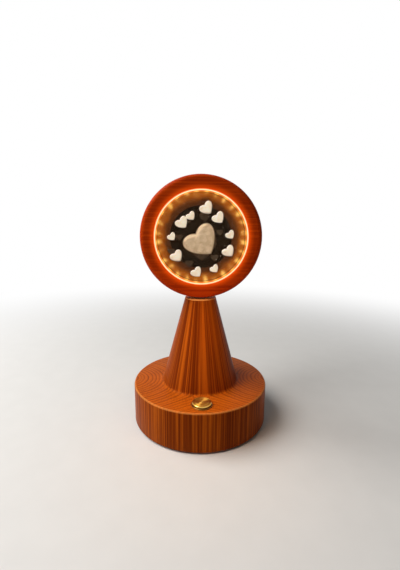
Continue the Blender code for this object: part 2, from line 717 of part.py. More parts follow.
def button_moving_parts():
    """Brass cap and plunger, the clip that keeps them in, and the return spring round the plunger."""
    axis = axis_empty("button_axis", Vector((0, -button_offset, cap_bottom)))
    place = (0, -button_offset, 0)
    cap_top = cap_bottom + CAP_THICKNESS
    skirt_bottom = cap_bottom - CAP_SKIRT_DEPTH
    profile = [(0, cap_top),
               (CAP_FLANGE_RADIUS - CAP_BEVEL, cap_top),
               (CAP_FLANGE_RADIUS, cap_top - CAP_BEVEL),
               (CAP_FLANGE_RADIUS, cap_bottom),
               (CAP_SKIRT_RADIUS, cap_bottom),
               (CAP_SKIRT_RADIUS, skirt_bottom),
               (PLUNGER_RADIUS, skirt_bottom),
               (PLUNGER_RADIUS, plunger_end),
               (0, plunger_end)]
    carry(turned("button_cap", profile, SMALL_STEPS, BRASS, place=place), axis)
    clip_top = ledge_bottom - SEAT_GAP
    carry(turned("button_clip", ring_profile(PLUNGER_RADIUS + SEAT_GAP, CLIP_RADIUS,
                                             clip_top - CLIP_THICKNESS, clip_top),
                 SMALL_STEPS, STEEL, closed=True, place=place), axis)
    low = ledge_top + SEAT_GAP + SPRING_WIRE_RADIUS
    high = skirt_bottom - SEAT_GAP - SPRING_WIRE_RADIUS
    per_turn = 9
    count = SPRING_TURNS * per_turn
    points = []
    for index in range(count + 1):
        angle = 2 * pi * index / per_turn
        points.append((SPRING_COIL_RADIUS * cos(angle),
                       SPRING_COIL_RADIUS * sin(angle) - button_offset,
                       low + (high - low) * index / count))
    carry(wire("button_spring", points, SPRING_WIRE_RADIUS, STEEL, smooth=False), axis)


def swivel_in_stem():
    """What stays with the stem: the flanged bush, the black neck washer and the stop pin."""
    flange_top = stem_top
    flange_bottom = stem_top - BUSH_FLANGE_THICKNESS
    bore = TUBE_RADIUS + SEAT_GAP
    profile = [(bore, flange_top),
               (BUSH_FLANGE_RADIUS, flange_top),
               (BUSH_FLANGE_RADIUS, flange_bottom),
               (bush_radius, flange_bottom),
               (bush_radius, shoulder),
               (bore, shoulder)]
    turned("stem_bush", profile, SMALL_STEPS, BRASS, closed=True)
    turned("neck_washer", ring_profile(bore, NECK_WASHER_RADIUS, stem_top + SEAT_GAP,
                                       head_bottom + SPOT_FACE_DEPTH - SEAT_GAP),
           SMALL_STEPS, NYLON, closed=True)
    cylinder("stop_pin", STOP_PIN_RADIUS, shoulder - STOP_PIN_DROP, shoulder + STOP_PIN_SET,
             SCREW_STEPS, STEEL, centre=(0, STOP_PIN_CIRCLE))


def swivel_in_head(axis):
    """What turns with the head: the hollow bolt, the tabbed stop washer and the locknut."""
    flange_low = head_height - groove_radius - FLANGE_POCKET_DEPTH + SEAT_GAP
    flange_high = flange_low + TUBE_FLANGE_THICKNESS
    washer_top = shoulder - SEAT_GAP
    washer_low = washer_top - STOP_WASHER_THICKNESS
    nut_top = washer_low - SEAT_GAP
    nut_low = nut_top - LOCKNUT_THICKNESS
    profile = [(TUBE_BORE, flange_high),
               (TUBE_FLANGE_RADIUS, flange_high),
               (TUBE_FLANGE_RADIUS, flange_low),
               (TUBE_RADIUS, flange_low),
               (TUBE_RADIUS, nut_low - TUBE_END),
               (TUBE_BORE, nut_low - TUBE_END)]
    carry(turned("swivel_tube", profile, SMALL_STEPS, BRASS, closed=True), axis)
    bore = TUBE_RADIUS + SEAT_GAP
    washer = turned("stop_washer", ring_profile(bore, STOP_WASHER_RADIUS, washer_low, washer_top),
                    SMALL_STEPS, STEEL, closed=True)
    rim = (bore + STOP_WASHER_RADIUS) / 2
    join(washer, block("stop_tab", (-STOP_TAB_WIDTH / 2, -STOP_TAB_REACH, washer_low),
                       (STOP_TAB_WIDTH / 2, -rim, washer_top)))
    carry(washer, axis)
    nut = cylinder("swivel_locknut", LOCKNUT_RADIUS, nut_low, nut_top, 6, BRASS)
    cut(nut, cylinder("locknut_bore", bore, nut_low - OVERRUN, nut_top + OVERRUN, SMALL_STEPS))
    carry(nut, axis)


def facing(name, profile, steps, finish, closed=False):
    """A piece turned about the head's own axis, with the profile's heights towards the front."""
    return turned(name, profile, steps, finish, closed=closed, place=(0, 0, head_height),
                  turn=(pi / 2, 0, 0))


def head_ring(axis):
    """Turned wooden ring with a front lip, a groove for the light strip and a rear rebate."""
    cover_hole = back_cover_radius + SEAT_GAP
    front = half_depth
    profile = arc((head_radius - RING_ROUND, front - RING_ROUND), RING_ROUND, 90, 0)
    edge = min(BACK_ROUND, back_wall * BACK_ROUND_SHARE)
    profile += arc((head_radius - edge, -front + edge), edge, 0, -90)
    profile += [(cover_hole, -front),
                (cover_hole, back_seat),
                (groove_radius, back_seat),
                (groove_radius, front - LIP_THICKNESS),
                (lip_radius, front - LIP_THICKNESS)]
    profile += arc((lip_radius + LIP_ROUND, front - LIP_ROUND), LIP_ROUND, 180, 90, 2)
    ring = facing("head_ring", profile, LARGE_STEPS, RING_WOOD, closed=True)
    pocket_low = head_height - groove_radius - FLANGE_POCKET_DEPTH
    cut(ring, cylinder("tube_hole", TUBE_RADIUS + SEAT_GAP, head_bottom - OVERRUN,
                       pocket_low + OVERRUN, SMALL_STEPS))
    cut(ring, cylinder("flange_pocket", TUBE_FLANGE_RADIUS + SEAT_GAP, pocket_low,
                       pocket_low + FLANGE_POCKET_DEPTH + OVERRUN, SMALL_STEPS))
    cut(ring, cylinder("spot_face", SPOT_FACE_RADIUS, head_bottom - OVERRUN,
                       head_bottom + SPOT_FACE_DEPTH, INNER_STEPS))
    pilot_end = front - BACK_COVER_RECESS - SCREW_LENGTH - 2 * SEAT_GAP
    for number, place in enumerate(back_screw_places(), 1):
        hole = cylinder(f"ring_pilot_{number}", SCREW_SHANK_RADIUS + SEAT_GAP, -front - OVERRUN,
                        -pilot_end, SCREW_STEPS)
        hole.location = (place[0], 0, place[1])
        hole.rotation_euler = (pi / 2, 0, 0)
        cut(ring, hole)
    carry(ring, axis)


def back_screw_places():
    """X and Z of the four screws round the back cover."""
    return [(back_circle * cos(angle), head_height + back_circle * sin(angle))
            for angle in around(4, 45)]


def back_cover(axis):
    """Black disc let into the back of the ring, held by four screws."""
    outer = -half_depth + BACK_COVER_RECESS
    inner = outer + BACK_COVER_THICKNESS
    cover = facing("back_cover", [(0, inner), (back_cover_radius, inner), (back_cover_radius, outer),
                                  (0, outer)], INNER_STEPS, BLACK)
    head_seat = outer + SCREW_HEAD_HEIGHT
    for number, place in enumerate(back_screw_places(), 1):
        for label, radius, deep in (("hole", SCREW_SHANK_RADIUS, inner + OVERRUN),
                                    ("sink", SCREW_HEAD_RADIUS, head_seat)):
            hole = cylinder(f"back_{label}_{number}", radius + SEAT_GAP, outer - OVERRUN, deep,
                            SCREW_STEPS)
            hole.location = (place[0], 0, place[1])
            hole.rotation_euler = (pi / 2, 0, 0)
            cut(cover, hole)
        carry(screw(f"back_screw_{number}", -head_seat, (place[0], 0, place[1]),
                    (-pi / 2, 0, 0)), axis)
    carry(cover, axis)


def crystal(axis):
    """Thick round crystal with a slightly domed front and polished chamfers."""
    edge = CRYSTAL_RADIUS - CRYSTAL_CHAMFER
    dome_radius = (edge * edge + CRYSTAL_DOME * CRYSTAL_DOME) / (2 * CRYSTAL_DOME)
    dome_centre = crystal_front + CRYSTAL_DOME - dome_radius
    rise = degrees(acos(edge / dome_radius))
    profile = arc((0, dome_centre), dome_radius, 90, rise, 4)
    profile += [(CRYSTAL_RADIUS, crystal_front - CRYSTAL_CHAMFER),
                (CRYSTAL_RADIUS, crystal_back + CRYSTAL_CHAMFER),
                (edge, crystal_back),
                (0, crystal_back)]
    profile[0] = (0, crystal_front + CRYSTAL_DOME)
    carry(facing("crystal", profile, LARGE_STEPS, GLASS), axis)


def diffuser_ring(axis):
    """Frosted ring between the crystal and the wood, whose front edge shows as the line of light."""
    front = half_depth - DIFFUSER_INSET
    lip_back = front - DIFFUSER_LIP_THICKNESS
    profile = [(diffuser_inner - DIFFUSER_LIP, front),
               (diffuser_outer, front),
               (diffuser_outer, crystal_back),
               (diffuser_inner, crystal_back),
               (diffuser_inner, lip_back),
               (diffuser_inner - DIFFUSER_LIP, lip_back)]
    carry(facing("diffuser_ring", profile, LARGE_STEPS, DIFFUSER, closed=True), axis)


def led_strip(axis):
    """Flexible strip in the ring's groove, with its LEDs soldered on the inside."""
    half = STRIP_WIDTH / 2
    strip = facing("led_strip", ring_profile(strip_inner, strip_outer, -half, half), LED_COUNT,
                   LED, closed=True)
    bm = bmesh.new()
    overlap = STRIP_THICKNESS / 2
    for angle in around(LED_COUNT, 180 / LED_COUNT):
        made = bmesh.ops.create_cube(bm, size=1)["verts"]
        bmesh.ops.scale(bm, verts=made, vec=(LED_HEIGHT + overlap, LED_LENGTH, LED_WIDTH))
        middle = strip_inner * cos(pi / LED_COUNT) + overlap - (LED_HEIGHT + overlap) / 2
        bmesh.ops.translate(bm, verts=made, vec=(middle, 0, 0))
        bmesh.ops.rotate(bm, verts=made, cent=(0, 0, 0), matrix=Matrix.Rotation(angle, 3, "Z"))
    mesh = bpy.data.meshes.new("leds")
    bm.to_mesh(mesh)
    bm.free()
    join(strip, add_object("leds", mesh, None, (0, 0, head_height), (pi / 2, 0, 0)))
    carry(strip, axis)


def behind_the_crystal(axis):
    """Dished amber reflector that mirrors the LEDs, and the black disc that backs the hearts."""
    cover_face = back_seat - SEAT_GAP
    backing_low = cover_face + SEAT_GAP
    backing_high = backing_low + BACKING_THICKNESS
    carry(facing("backing_disc", [(0, backing_high), (backing_radius, backing_high),
                                  (backing_radius, backing_low), (0, backing_low)],
                 INNER_STEPS, BLACK), axis)
    foot_low = backing_high + SEAT_GAP
    rim_high = crystal_back - SEAT_GAP
    rim_low = rim_high - REFLECTOR_THICKNESS
    profile = [(reflector_inner_radius, foot_low + REFLECTOR_THICKNESS),
               (reflector_foot_radius, foot_low + REFLECTOR_THICKNESS),
               (diffuser_outer, rim_high),
               (diffuser_outer, rim_low),
               (reflector_foot_radius, foot_low),
               (reflector_inner_radius, foot_low)]
    carry(facing("reflector_ring", profile, INNER_STEPS, AMBER, closed=True), axis)


def stem_lead():
    """Two-core lead from the board up the stem and through the hollow bolt to the light strip."""
    top = head_height - strip_outer - SEAT_GAP
    start = board_top + SEAT_GAP
    bend = STEM_LEAD_RADIUS * 3
    wire("stem_lead", [(0, board_front + bend, start),
                       (0, board_front + bend, start + bend / 3),
                       (0, board_front + bend / 2, start + bend),
                       (0, board_front - bend, start + 2 * bend),
                       (0, board_front / 2, pocket_top - 2 * bend),
                       (0, bend / 2, pocket_top - bend / 2),
                       (0, 0, pocket_top + 2 * bend),
                       (0, 0, shoulder),
                       (0, 0, top)], STEM_LEAD_RADIUS, LEAD)


turned_wood_body()
bottom_cover()
feet()
cover_screws()
circuit_board()
usb_socket()
port_plate()
battery()
button_fixed_parts()
button_moving_parts()
swivel_in_stem()
stem_lead()
head_axis = axis_empty("head_swivel_axis", Vector((0, 0, stem_top)))
swivel_in_head(head_axis)
head_ring(head_axis)
back_cover(head_axis)
crystal(head_axis)
diffuser_ring(head_axis)
led_strip(head_axis)
behind_the_crystal(head_axis)
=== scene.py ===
from math import acos, atan, cos, degrees, pi, radians, sin, tan

import bmesh
import bpy
from mathutils import Matrix, Vector


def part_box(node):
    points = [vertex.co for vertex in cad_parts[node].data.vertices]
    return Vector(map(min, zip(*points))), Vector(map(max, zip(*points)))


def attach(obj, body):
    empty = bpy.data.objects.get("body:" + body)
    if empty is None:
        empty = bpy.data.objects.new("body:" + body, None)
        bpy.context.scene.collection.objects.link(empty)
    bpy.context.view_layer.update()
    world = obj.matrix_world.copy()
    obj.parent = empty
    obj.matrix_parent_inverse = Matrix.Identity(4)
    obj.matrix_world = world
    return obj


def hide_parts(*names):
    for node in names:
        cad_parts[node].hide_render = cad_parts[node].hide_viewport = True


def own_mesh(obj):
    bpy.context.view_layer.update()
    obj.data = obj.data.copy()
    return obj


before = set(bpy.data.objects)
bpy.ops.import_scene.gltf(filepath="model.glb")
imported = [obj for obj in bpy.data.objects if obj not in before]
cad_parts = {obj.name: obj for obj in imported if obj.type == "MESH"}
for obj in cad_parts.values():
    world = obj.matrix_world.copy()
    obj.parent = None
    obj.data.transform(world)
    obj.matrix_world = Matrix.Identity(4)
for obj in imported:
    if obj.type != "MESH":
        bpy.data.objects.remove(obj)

scene = bpy.context.scene
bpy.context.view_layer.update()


# Camera: a little above the head and close to the light, as the photograph was taken. It is tipped
# down, turned slightly to the left and rolled by less than a degree.
camera_place = (-0.0100, -0.3000, 0.1857)
camera_tip = 10.42
camera_turn = -1.8
camera_roll = 0.36
camera_lens = 20.4
sensor_width = 36
camera = bpy.data.objects.new("camera", bpy.data.cameras.new("camera"))
camera.data.sensor_width = sensor_width
camera.data.lens = camera_lens
camera.matrix_world = (Matrix.Translation(camera_place)
                       @ Matrix.Rotation(radians(camera_turn), 4, "Z")
                       @ Matrix.Rotation(radians(90 - camera_tip), 4, "X")
                       @ Matrix.Rotation(radians(camera_roll), 4, "Z"))
scene.collection.objects.link(camera)
scene.camera = camera


# Base and stem: one block of reddish-brown hardwood turned on a lathe, grain running up the stem,
# sanded and given a satin lacquer. It is hollowed from below for the electronics, bored up the
# stem for the lead, and drilled for the button, the charging socket and the cover's screws.
mm = 0.001
running_gap = 0.3 * mm
overrun = 4 * mm
base_radius = 64 * mm
base_top = 37.1 * mm
base_bottom = 1.6 * mm
rim_round = 1.6 * mm
heel_round = 0.8 * mm
stem_top = 119.3 * mm
stem_foot_radius = 36.5 * mm
stem_top_radius = 14.6 * mm
stem_edge = 0.6 * mm
foot_fillet = 3.2 * mm
cover_radius = 56 * mm
cover_top = 4.4 * mm
pocket_radius = 50 * mm
pocket_roof = 10 * mm
stem_bore = 10 * mm
bush_length = 12 * mm
bush_radius = 6.8 * mm
bush_flange_radius = 8.6 * mm
bush_flange = 1 * mm
button_offset = 50.5 * mm
barrel_radius = 7.4 * mm
gasket_radius = 8.4 * mm
gasket_seat = 0.5 * mm
nut_well_radius = 10.4 * mm
pilot_radius = 1 * mm
pilot_depth = 5 * mm
screw_circle = (pocket_radius + cover_radius) / 2
socket_bay_side = 13 * mm
socket_bay_front = 22.5 * mm
socket_bay_back = 60 * mm
wood_steps = 192


def srgb(red, green, blue):
    """A colour as a paint chart gives it, turned into the renderer's own values."""
    values = []
    for part in (red, green, blue):
        part = part / 255
        values.append(part / 12.92 if part <= 0.04045 else ((part + 0.055) / 1.055) ** 2.4)
    return (*values, 1)


def fill(made, inputs):
    """Gives a shader node's sockets their values or links."""
    for name, value in dict(inputs).items():
        if isinstance(value, bpy.types.NodeSocket):
            made.id_data.links.new(value, made.inputs[name])
        else:
            made.inputs[name].default_value = value


def node(tree, kind, inputs=(), **options):
    """Adds one shader node, sets its options and fills its sockets."""
    made = tree.nodes.new(kind)
    for name, value in options.items():
        setattr(made, name, value)
    fill(made, inputs)
    return made


def own_place(tree):
    """The place of each point on its piece, in metres from the origin."""
    return node(tree, "ShaderNodeTexCoord").outputs["Object"]


def sum_up(tree, operation, *values):
    """One step of arithmetic on values or links, such as ADD or POWER."""
    return node(tree, "ShaderNodeMath", enumerate(values), operation=operation).outputs[0]


def vector(tree, operation, *values):
    """One step of arithmetic on places or directions."""
    made = node(tree, "ShaderNodeVectorMath", enumerate(values), operation=operation)
    return made.outputs["Value" if operation == "LENGTH" else "Vector"]


def scaled(tree, source, *sizes):
    """The source coordinates in cells of the given sizes, in metres along X, Y and Z."""
    return vector(tree, "MULTIPLY", source, [1 / size for size in sizes])


def noise(tree, source, detail=2.0, output=0):
    made = node(tree, "ShaderNodeTexNoise", {"Vector": source, "Scale": 1.0, "Detail": detail})
    return made.outputs[output]


def noise_along(tree, measure, scale, detail):
    """Noise that changes along one measure alone, such as the way out from a centre."""
    return node(tree, "ShaderNodeTexNoise", {"W": measure, "Scale": scale, "Detail": detail},
                noise_dimensions="1D").outputs[0]


def spread(tree, value, low, high, new_low=0.0, new_high=1.0):
    """Carries a value from one range to another with soft ends."""
    return node(tree, "ShaderNodeMapRange", {0: value, 1: low, 2: high, 3: new_low, 4: new_high},
                interpolation_type="SMOOTHSTEP").outputs[0]


def mixed(tree, amount, first, second):
    """One colour turned into another by an amount."""
    made = node(tree, "ShaderNodeMix", {0: amount, 6: first, 7: second}, data_type="RGBA")
    return made.outputs[2]


def new_group(name, inputs, outputs):
    """An empty node group with named sockets; gives its tree, its inputs and its end node."""
    tree = bpy.data.node_groups.new(name, "ShaderNodeTree")
    for label, kind in inputs:
        tree.interface.new_socket(label, in_out="INPUT", socket_type=f"NodeSocket{kind}")
    for label, kind in outputs:
        tree.interface.new_socket(label, in_out="OUTPUT", socket_type=f"NodeSocket{kind}")
    start = tree.nodes.new("NodeGroupInput")
    end = tree.nodes.new("NodeGroupOutput")
    return tree, start.outputs, end


def new_material(name):
    """A fresh material; gives it with its nodes and its shader."""
    made = bpy.data.materials.new(name)
    made.use_nodes = True
    return made, made.node_tree, made.node_tree.nodes["Principled BSDF"]


def bump(tree, height, distance, strength=1.0):
    """Fine relief for a shader's Normal, as deep as the distance."""
    return node(tree, "ShaderNodeBump", {"Height": height, "Distance": distance,
                                         "Strength": strength}).outputs[0]


def build_grain():
    """Wood as it grew: rings round a pith along Z, or round two where two planks are joined, with
    long fibres and open pores."""
    stray_cell = (0.030, 0.030, 0.40)
    broad_cell = (0.016, 0.016, 0.40)
    fibre_cell = (0.0013, 0.0013, 0.20)
    hair_cell = (0.0006, 0.0006, 0.030)
    pore_cell = (0.0005, 0.0005, 0.012)
    pith_blur = 0.0005
    lean_share = 1.6
    hair_share = 0.14
    pore_share = 0.28
    tree, given, end = new_group(
        "wood_grain",
        [("Vector", "Vector"), ("Pale", "Color"), ("Warm", "Color"), ("Dark", "Color"),
         ("Pith Spread", "Float"), ("Ring Width", "Float"), ("Figure", "Float"),
         ("Ring Depth", "Float")],
        [("Color", "Color"), ("Gloss Loss", "Float"), ("Height", "Float")])
    place = given["Vector"]
    wander = vector(tree, "SUBTRACT", noise(tree, scaled(tree, place, *stray_cell), 2, 1),
                    (0.5, 0.5, 0.5))
    strayed = vector(tree, "ADD", place,
                     node(tree, "ShaderNodeVectorMath", {0: wander, "Scale": given["Figure"]},
                          operation="SCALE").outputs[0])
    parts = node(tree, "ShaderNodeSeparateXYZ", {0: strayed}).outputs
    aside = sum_up(tree, "SQRT", sum_up(tree, "MULTIPLY_ADD", parts["X"], parts["X"], pith_blur))
    across = sum_up(tree, "SUBTRACT", aside, given["Pith Spread"])
    reach = vector(tree, "LENGTH", node(tree, "ShaderNodeCombineXYZ",
                                        {0: across, 1: parts["Y"]}).outputs[0])
    turns = sum_up(tree, "DIVIDE", reach, given["Ring Width"])
    lean_years = noise_along(tree, turns, 0.31, 2.0)
    turns = sum_up(tree, "MULTIPLY_ADD", lean_years, lean_share, turns)
    grown = sum_up(tree, "FRACT", turns)
    late = sum_up(tree, "SUBTRACT", spread(tree, grown, 0.30, 0.80), spread(tree, grown, 0.82, 1.0))
    year = node(tree, "ShaderNodeTexWhiteNoise", {"W": sum_up(tree, "FLOOR", turns)},
                noise_dimensions="1D").outputs[0]
    ring = sum_up(tree, "MULTIPLY", late, spread(tree, year, 0.0, 1.0, 0.50, 1.0))
    ring = sum_up(tree, "MULTIPLY", ring, given["Ring Depth"])
    broad = noise(tree, scaled(tree, place, *broad_cell), 1)
    fibre = noise(tree, scaled(tree, place, *fibre_cell), 2)
    fine = noise(tree, scaled(tree, place, *hair_cell), 2)
    pores = spread(tree, noise(tree, scaled(tree, strayed, *pore_cell), 1), 0.64, 0.76)
    tone = sum_up(tree, "ADD", spread(tree, broad, 0.30, 0.70, 0.22, 0.40),
                  spread(tree, fibre, 0.28, 0.72, 0.0, 0.44))
    tone = sum_up(tree, "MULTIPLY_ADD", fine, hair_share, tone)
    low = mixed(tree, spread(tree, tone, 0.05, 0.50), given["Dark"], given["Warm"])
    colour = mixed(tree, spread(tree, tone, 0.40, 1.0), low, given["Pale"])
    colour = mixed(tree, ring, colour, given["Dark"])
    colour = mixed(tree, sum_up(tree, "MULTIPLY", pores, pore_share), colour, given["Dark"])
    dull = sum_up(tree, "MULTIPLY_ADD", pores, 0.25, sum_up(tree, "MULTIPLY", fine, 0.12))
    height = sum_up(tree, "MULTIPLY_ADD", pores, -0.8, sum_up(tree, "MULTIPLY", fibre, 0.5))
    height = sum_up(tree, "MULTIPLY_ADD", ring, -0.1, height)
    fill(end, {"Color": colour, "Gloss Loss": dull, "Height": height})
    return tree


grain = build_grain()
ring_depths = (0.22, 0.56)
painted_end_grain_light = 0.72
lacquer_roughness = 0.30
lacquer_sheen = 0.03
grain_relief = 0.1 * mm


def wood(name, pith, turn, fibres, pale, warm, dark, pith_spread, ring_width, figure, taper=None):
    """Lacquered wood: the pith stands at a given place, and the fibres run along a turned axis.
    The rings show most where a cut goes across the fibres, and there the colour is painted paler,
    as painted light, which shows on the base's top. With a taper, its height and reach from the
    pith draw the fibres in along a cone."""
    made, tree, shader = new_material(name)
    texture = node(tree, "ShaderNodeTexCoord").outputs
    place = texture["Object"]
    if taper:
        foot, top, foot_reach, top_reach = taper
        level = node(tree, "ShaderNodeSeparateXYZ", {0: place}).outputs["Z"]
        cone = node(tree, "ShaderNodeMapRange", {0: level, 1: foot, 2: top, 3: 1.0,
                                                 4: top_reach / foot_reach}).outputs[0]
        wide = sum_up(tree, "DIVIDE", 1.0, cone)
        place = vector(tree, "MULTIPLY", place,
                       node(tree, "ShaderNodeCombineXYZ", {0: wide, 1: wide, 2: 1.0}).outputs[0])
    moved = vector(tree, "SUBTRACT", place, pith)
    along = vector(tree, "LENGTH", vector(tree, "MULTIPLY", texture["Normal"], fibres))
    end_grain = spread(tree, along, 0.5, 0.98)
    ring_depth = spread(tree, end_grain, 0, 1, *ring_depths)
    turned_to = node(tree, "ShaderNodeMapping", {"Vector": moved, "Rotation": turn}).outputs[0]
    # Painted light: the warm tone is painted paler across the fibres, so the base's top shows
    # lighter.
    warm_with_painted_light = mixed(tree, sum_up(tree, "MULTIPLY", end_grain, painted_end_grain_light), warm, pale)
    growth = node(tree, "ShaderNodeGroup",
                  {"Vector": turned_to, "Pale": pale, "Warm": warm_with_painted_light, "Dark": dark,
                   "Pith Spread": pith_spread, "Ring Width": ring_width, "Figure": figure,
                   "Ring Depth": ring_depth}, node_tree=grain)
    colour = growth.outputs["Color"]
    # The lacquer's reflections are tinted orange: painted warm light in its reflections.
    fill(shader, {"Base Color": colour, "Specular IOR Level": lacquer_sheen,
                  "Specular Tint": (1, 0.50, 0.18, 1),
                  "Roughness": sum_up(tree, "ADD", growth.outputs["Gloss Loss"],
                                      lacquer_roughness),
                  "Normal": bump(tree, growth.outputs["Height"], grain_relief, 0.4)})
    return made, tree, shader, colour


base_wood, tree, shader, colour = wood(
    "base_wood", pith=(0, -0.002, 0), turn=(0, 0, 0), fibres=(0, 0, 1),
    pale=srgb(182, 87, 16), warm=srgb(112, 42, 6), dark=srgb(58, 19, 3),
    pith_spread=0.0745, ring_width=0.0032, figure=0.004,
    taper=(base_top, stem_top, stem_foot_radius, stem_top_radius))

# Painted highlights: the stain is painted paler on the stem's top edge and on the base's rim, for
# the light these edges catch.
painted_rim_highlight = 0.30
painted_stem_top_highlight = 0.8
painted_highlight_colour = srgb(240, 160, 84)
place = own_place(tree)
level = node(tree, "ShaderNodeSeparateXYZ", {0: place}).outputs["Z"]
out_and_up = sum_up(tree, "ADD", level,
                    vector(tree, "LENGTH", vector(tree, "MULTIPLY", place, (1, 1, 0))))
rim_line = sum_up(tree, "SUBTRACT", spread(tree, out_and_up, base_radius + base_top - 1.5 * mm,
                                           base_radius + base_top - 1.0 * mm),
                  spread(tree, level, base_top + 0.2 * mm, base_top + 1.0 * mm))
stem_line = spread(tree, level, stem_top - 1.0 * mm, stem_top - 0.4 * mm)
# Painted highlight: both edge bands together, where the colour is lightened.
painted_edge_highlight = sum_up(tree, "MULTIPLY_ADD", sum_up(tree, "MAXIMUM", rim_line, 0.0), painted_rim_highlight,
                sum_up(tree, "MULTIPLY", stem_line, painted_stem_top_highlight))
fill(shader, {"Base Color": mixed(tree, painted_edge_highlight, colour, painted_highlight_colour)})


def arc(centre, radius, start, end, steps):
    """Points of a rounding in a profile, between two angles in degrees."""
    return [(centre[0] + radius * cos(radians(start + (end - start) * index / steps)),
             centre[1] + radius * sin(radians(start + (end - start) * index / steps)))
            for index in range(steps + 1)]


def lathe(profile, steps, closed=False):
    """A profile of (radius, height) points turned round Z, outer side first."""
    bm = bmesh.new()
    points = [bm.verts.new((radius, 0, height)) for radius, height in profile]
    following = points[1:] + (points[:1] if closed else [])
    edges = [bm.edges.new(pair) for pair in zip(points, following)]
    bmesh.ops.spin(bm, geom=points + edges, cent=(0, 0, 0), axis=(0, 0, 1), angle=2 * pi,
                   steps=steps, use_merge=True)
    bmesh.ops.remove_doubles(bm, verts=bm.verts, dist=1e-6)
    bmesh.ops.recalc_face_normals(bm, faces=bm.faces)
    return bm


def drill(radius, low, high, centre, steps=48):
    """A round cutter between two heights."""
    bm = bmesh.new()
    bmesh.ops.create_cone(bm, cap_ends=True, segments=steps, radius1=radius, radius2=radius,
                          depth=high - low)
    bmesh.ops.translate(bm, verts=bm.verts, vec=(*centre, (low + high) / 2))
    return bm


def box_between(low, high):
    """A square cutter between two corners."""
    bm = bmesh.new()
    bmesh.ops.create_cube(bm, size=1)
    bmesh.ops.scale(bm, verts=bm.verts, vec=[b - a for a, b in zip(low, high)])
    bmesh.ops.translate(bm, verts=bm.verts, vec=[(a + b) / 2 for a, b in zip(low, high)])
    return bm


def oblong(width, height, low, high, level, steps=14):
    """A bar with round ends, wide along X, that runs along Y between two places."""
    bm = bmesh.new()
    radius = height / 2
    reach = width / 2 - radius
    outline = []
    for side in (1, -1):
        outline += [(side * reach + x, z) for x, z in
                    arc((0, 0), radius, side * 90, side * 90 - 180, steps)]
    face = bm.faces.new([bm.verts.new((x, low, level + z)) for x, z in outline])
    grown = bmesh.ops.extrude_face_region(bm, geom=[face])["geom"]
    bmesh.ops.translate(bm, verts=[item for item in grown if isinstance(item, bmesh.types.BMVert)],
                        vec=(0, high - low, 0))
    bmesh.ops.recalc_face_normals(bm, faces=bm.faces)
    return bm


def soften(mesh, sharpest=32):
    """Shades a mesh smooth, apart from its corners."""
    for face in mesh.polygons:
        face.use_smooth = True
    mesh.set_sharp_from_angle(angle=radians(sharpest))


def fit_piece(name, bm, finish, body, slot, *stands_for):
    """Makes a bmesh a piece of the light, in its place and on its body."""
    mesh = bpy.data.meshes.new(name)
    bm.to_mesh(mesh)
    bm.free()
    mesh.materials.append(finish)
    soften(mesh)
    piece = bpy.data.objects.new(name, mesh)
    scene.collection.objects.link(piece)
    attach(piece, body)
    if stands_for:
        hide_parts(*stands_for)
    return piece


def cut_away(piece, cutters):
    """Takes the cutters' shapes out of a piece for good."""
    helpers = []
    for bm in cutters:
        mesh = bpy.data.meshes.new("cutter")
        bm.to_mesh(mesh)
        bm.free()
        helper = bpy.data.objects.new("cutter", mesh)
        scene.collection.objects.link(helper)
        cut = piece.modifiers.new("cut", "BOOLEAN")
        cut.operation = "DIFFERENCE"
        cut.solver = "EXACT"
        cut.object = helper
        helpers.append(helper)
    bpy.context.view_layer.update()
    finished = piece.evaluated_get(bpy.context.evaluated_depsgraph_get())
    result = bpy.data.meshes.new_from_object(finished)
    piece.modifiers.clear()
    old = piece.data
    piece.data = result
    bpy.data.meshes.remove(old)
    for helper in helpers:
        bpy.data.objects.remove(helper)
    soften(result)


stem_slope = atan((stem_foot_radius - stem_top_radius) / (stem_top - base_top))
fillet_height = base_top + foot_fillet
cone_at_fillet = stem_top_radius + (stem_top - fillet_height) * tan(stem_slope)
fillet_centre = (cone_at_fillet + foot_fillet / cos(stem_slope), fillet_height)
rebate = cover_radius + running_gap
ledge = cover_top + running_gap
pocket_top = base_top - pocket_roof
shoulder = stem_top - bush_length
flange_seat = stem_top - bush_flange - running_gap
profile = [(bush_flange_radius + running_gap, stem_top)]
profile += arc((stem_top_radius - stem_edge, stem_top - stem_edge), stem_edge, 90, 10, 4)
profile += arc(fillet_centre, foot_fillet, 180 + degrees(stem_slope), 270, 10)
profile += arc((base_radius - rim_round, base_top - rim_round), rim_round, 90, 0, 8)
profile += arc((base_radius - heel_round, base_bottom + heel_round), heel_round, 0, -90, 4)
profile += [(rebate, base_bottom), (rebate, ledge), (pocket_radius, ledge),
            (pocket_radius, pocket_top), (stem_bore, pocket_top), (stem_bore, shoulder),
            (bush_radius + running_gap, shoulder), (bush_radius + running_gap, flange_seat),
            (bush_flange_radius + running_gap, flange_seat)]
body = fit_piece("turned_base_and_stem", lathe(profile, wood_steps, closed=True), base_wood,
                 "base", "turned_wood", "turned_wood_body")

port_low, port_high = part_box("port_plate")
port_level = (port_low.z + port_high.z) / 2
socket_low, socket_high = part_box("usb_socket")
button_place = (0, -button_offset)
cutters = [
    drill(barrel_radius + running_gap, pocket_top - overrun, base_top + overrun, button_place),
    drill(gasket_radius + running_gap, base_top - gasket_seat - running_gap, base_top + overrun,
          button_place),
    drill(nut_well_radius, ledge + overrun, pocket_top, button_place),
    oblong(port_high.x - port_low.x + 2 * running_gap, port_high.z - port_low.z + 2 * running_gap,
           port_low.y - running_gap, base_radius + overrun, port_level),
    oblong(socket_high.x - socket_low.x + 2 * running_gap,
           socket_high.z - socket_low.z + 2 * running_gap,
           port_low.y - 2 * overrun, base_radius + overrun, port_level),
    box_between((-socket_bay_side, socket_bay_front, ledge - running_gap),
                (socket_bay_side, socket_bay_back, port_level + port_high.z - port_low.z)),
]
for quarter in range(4):
    turn = radians(45 + 90 * quarter)
    cutters.append(drill(pilot_radius + running_gap, cover_top / 2, cover_top + pilot_depth,
                         (screw_circle * cos(turn), screw_circle * sin(turn)), 16))
cut_away(body, cutters)


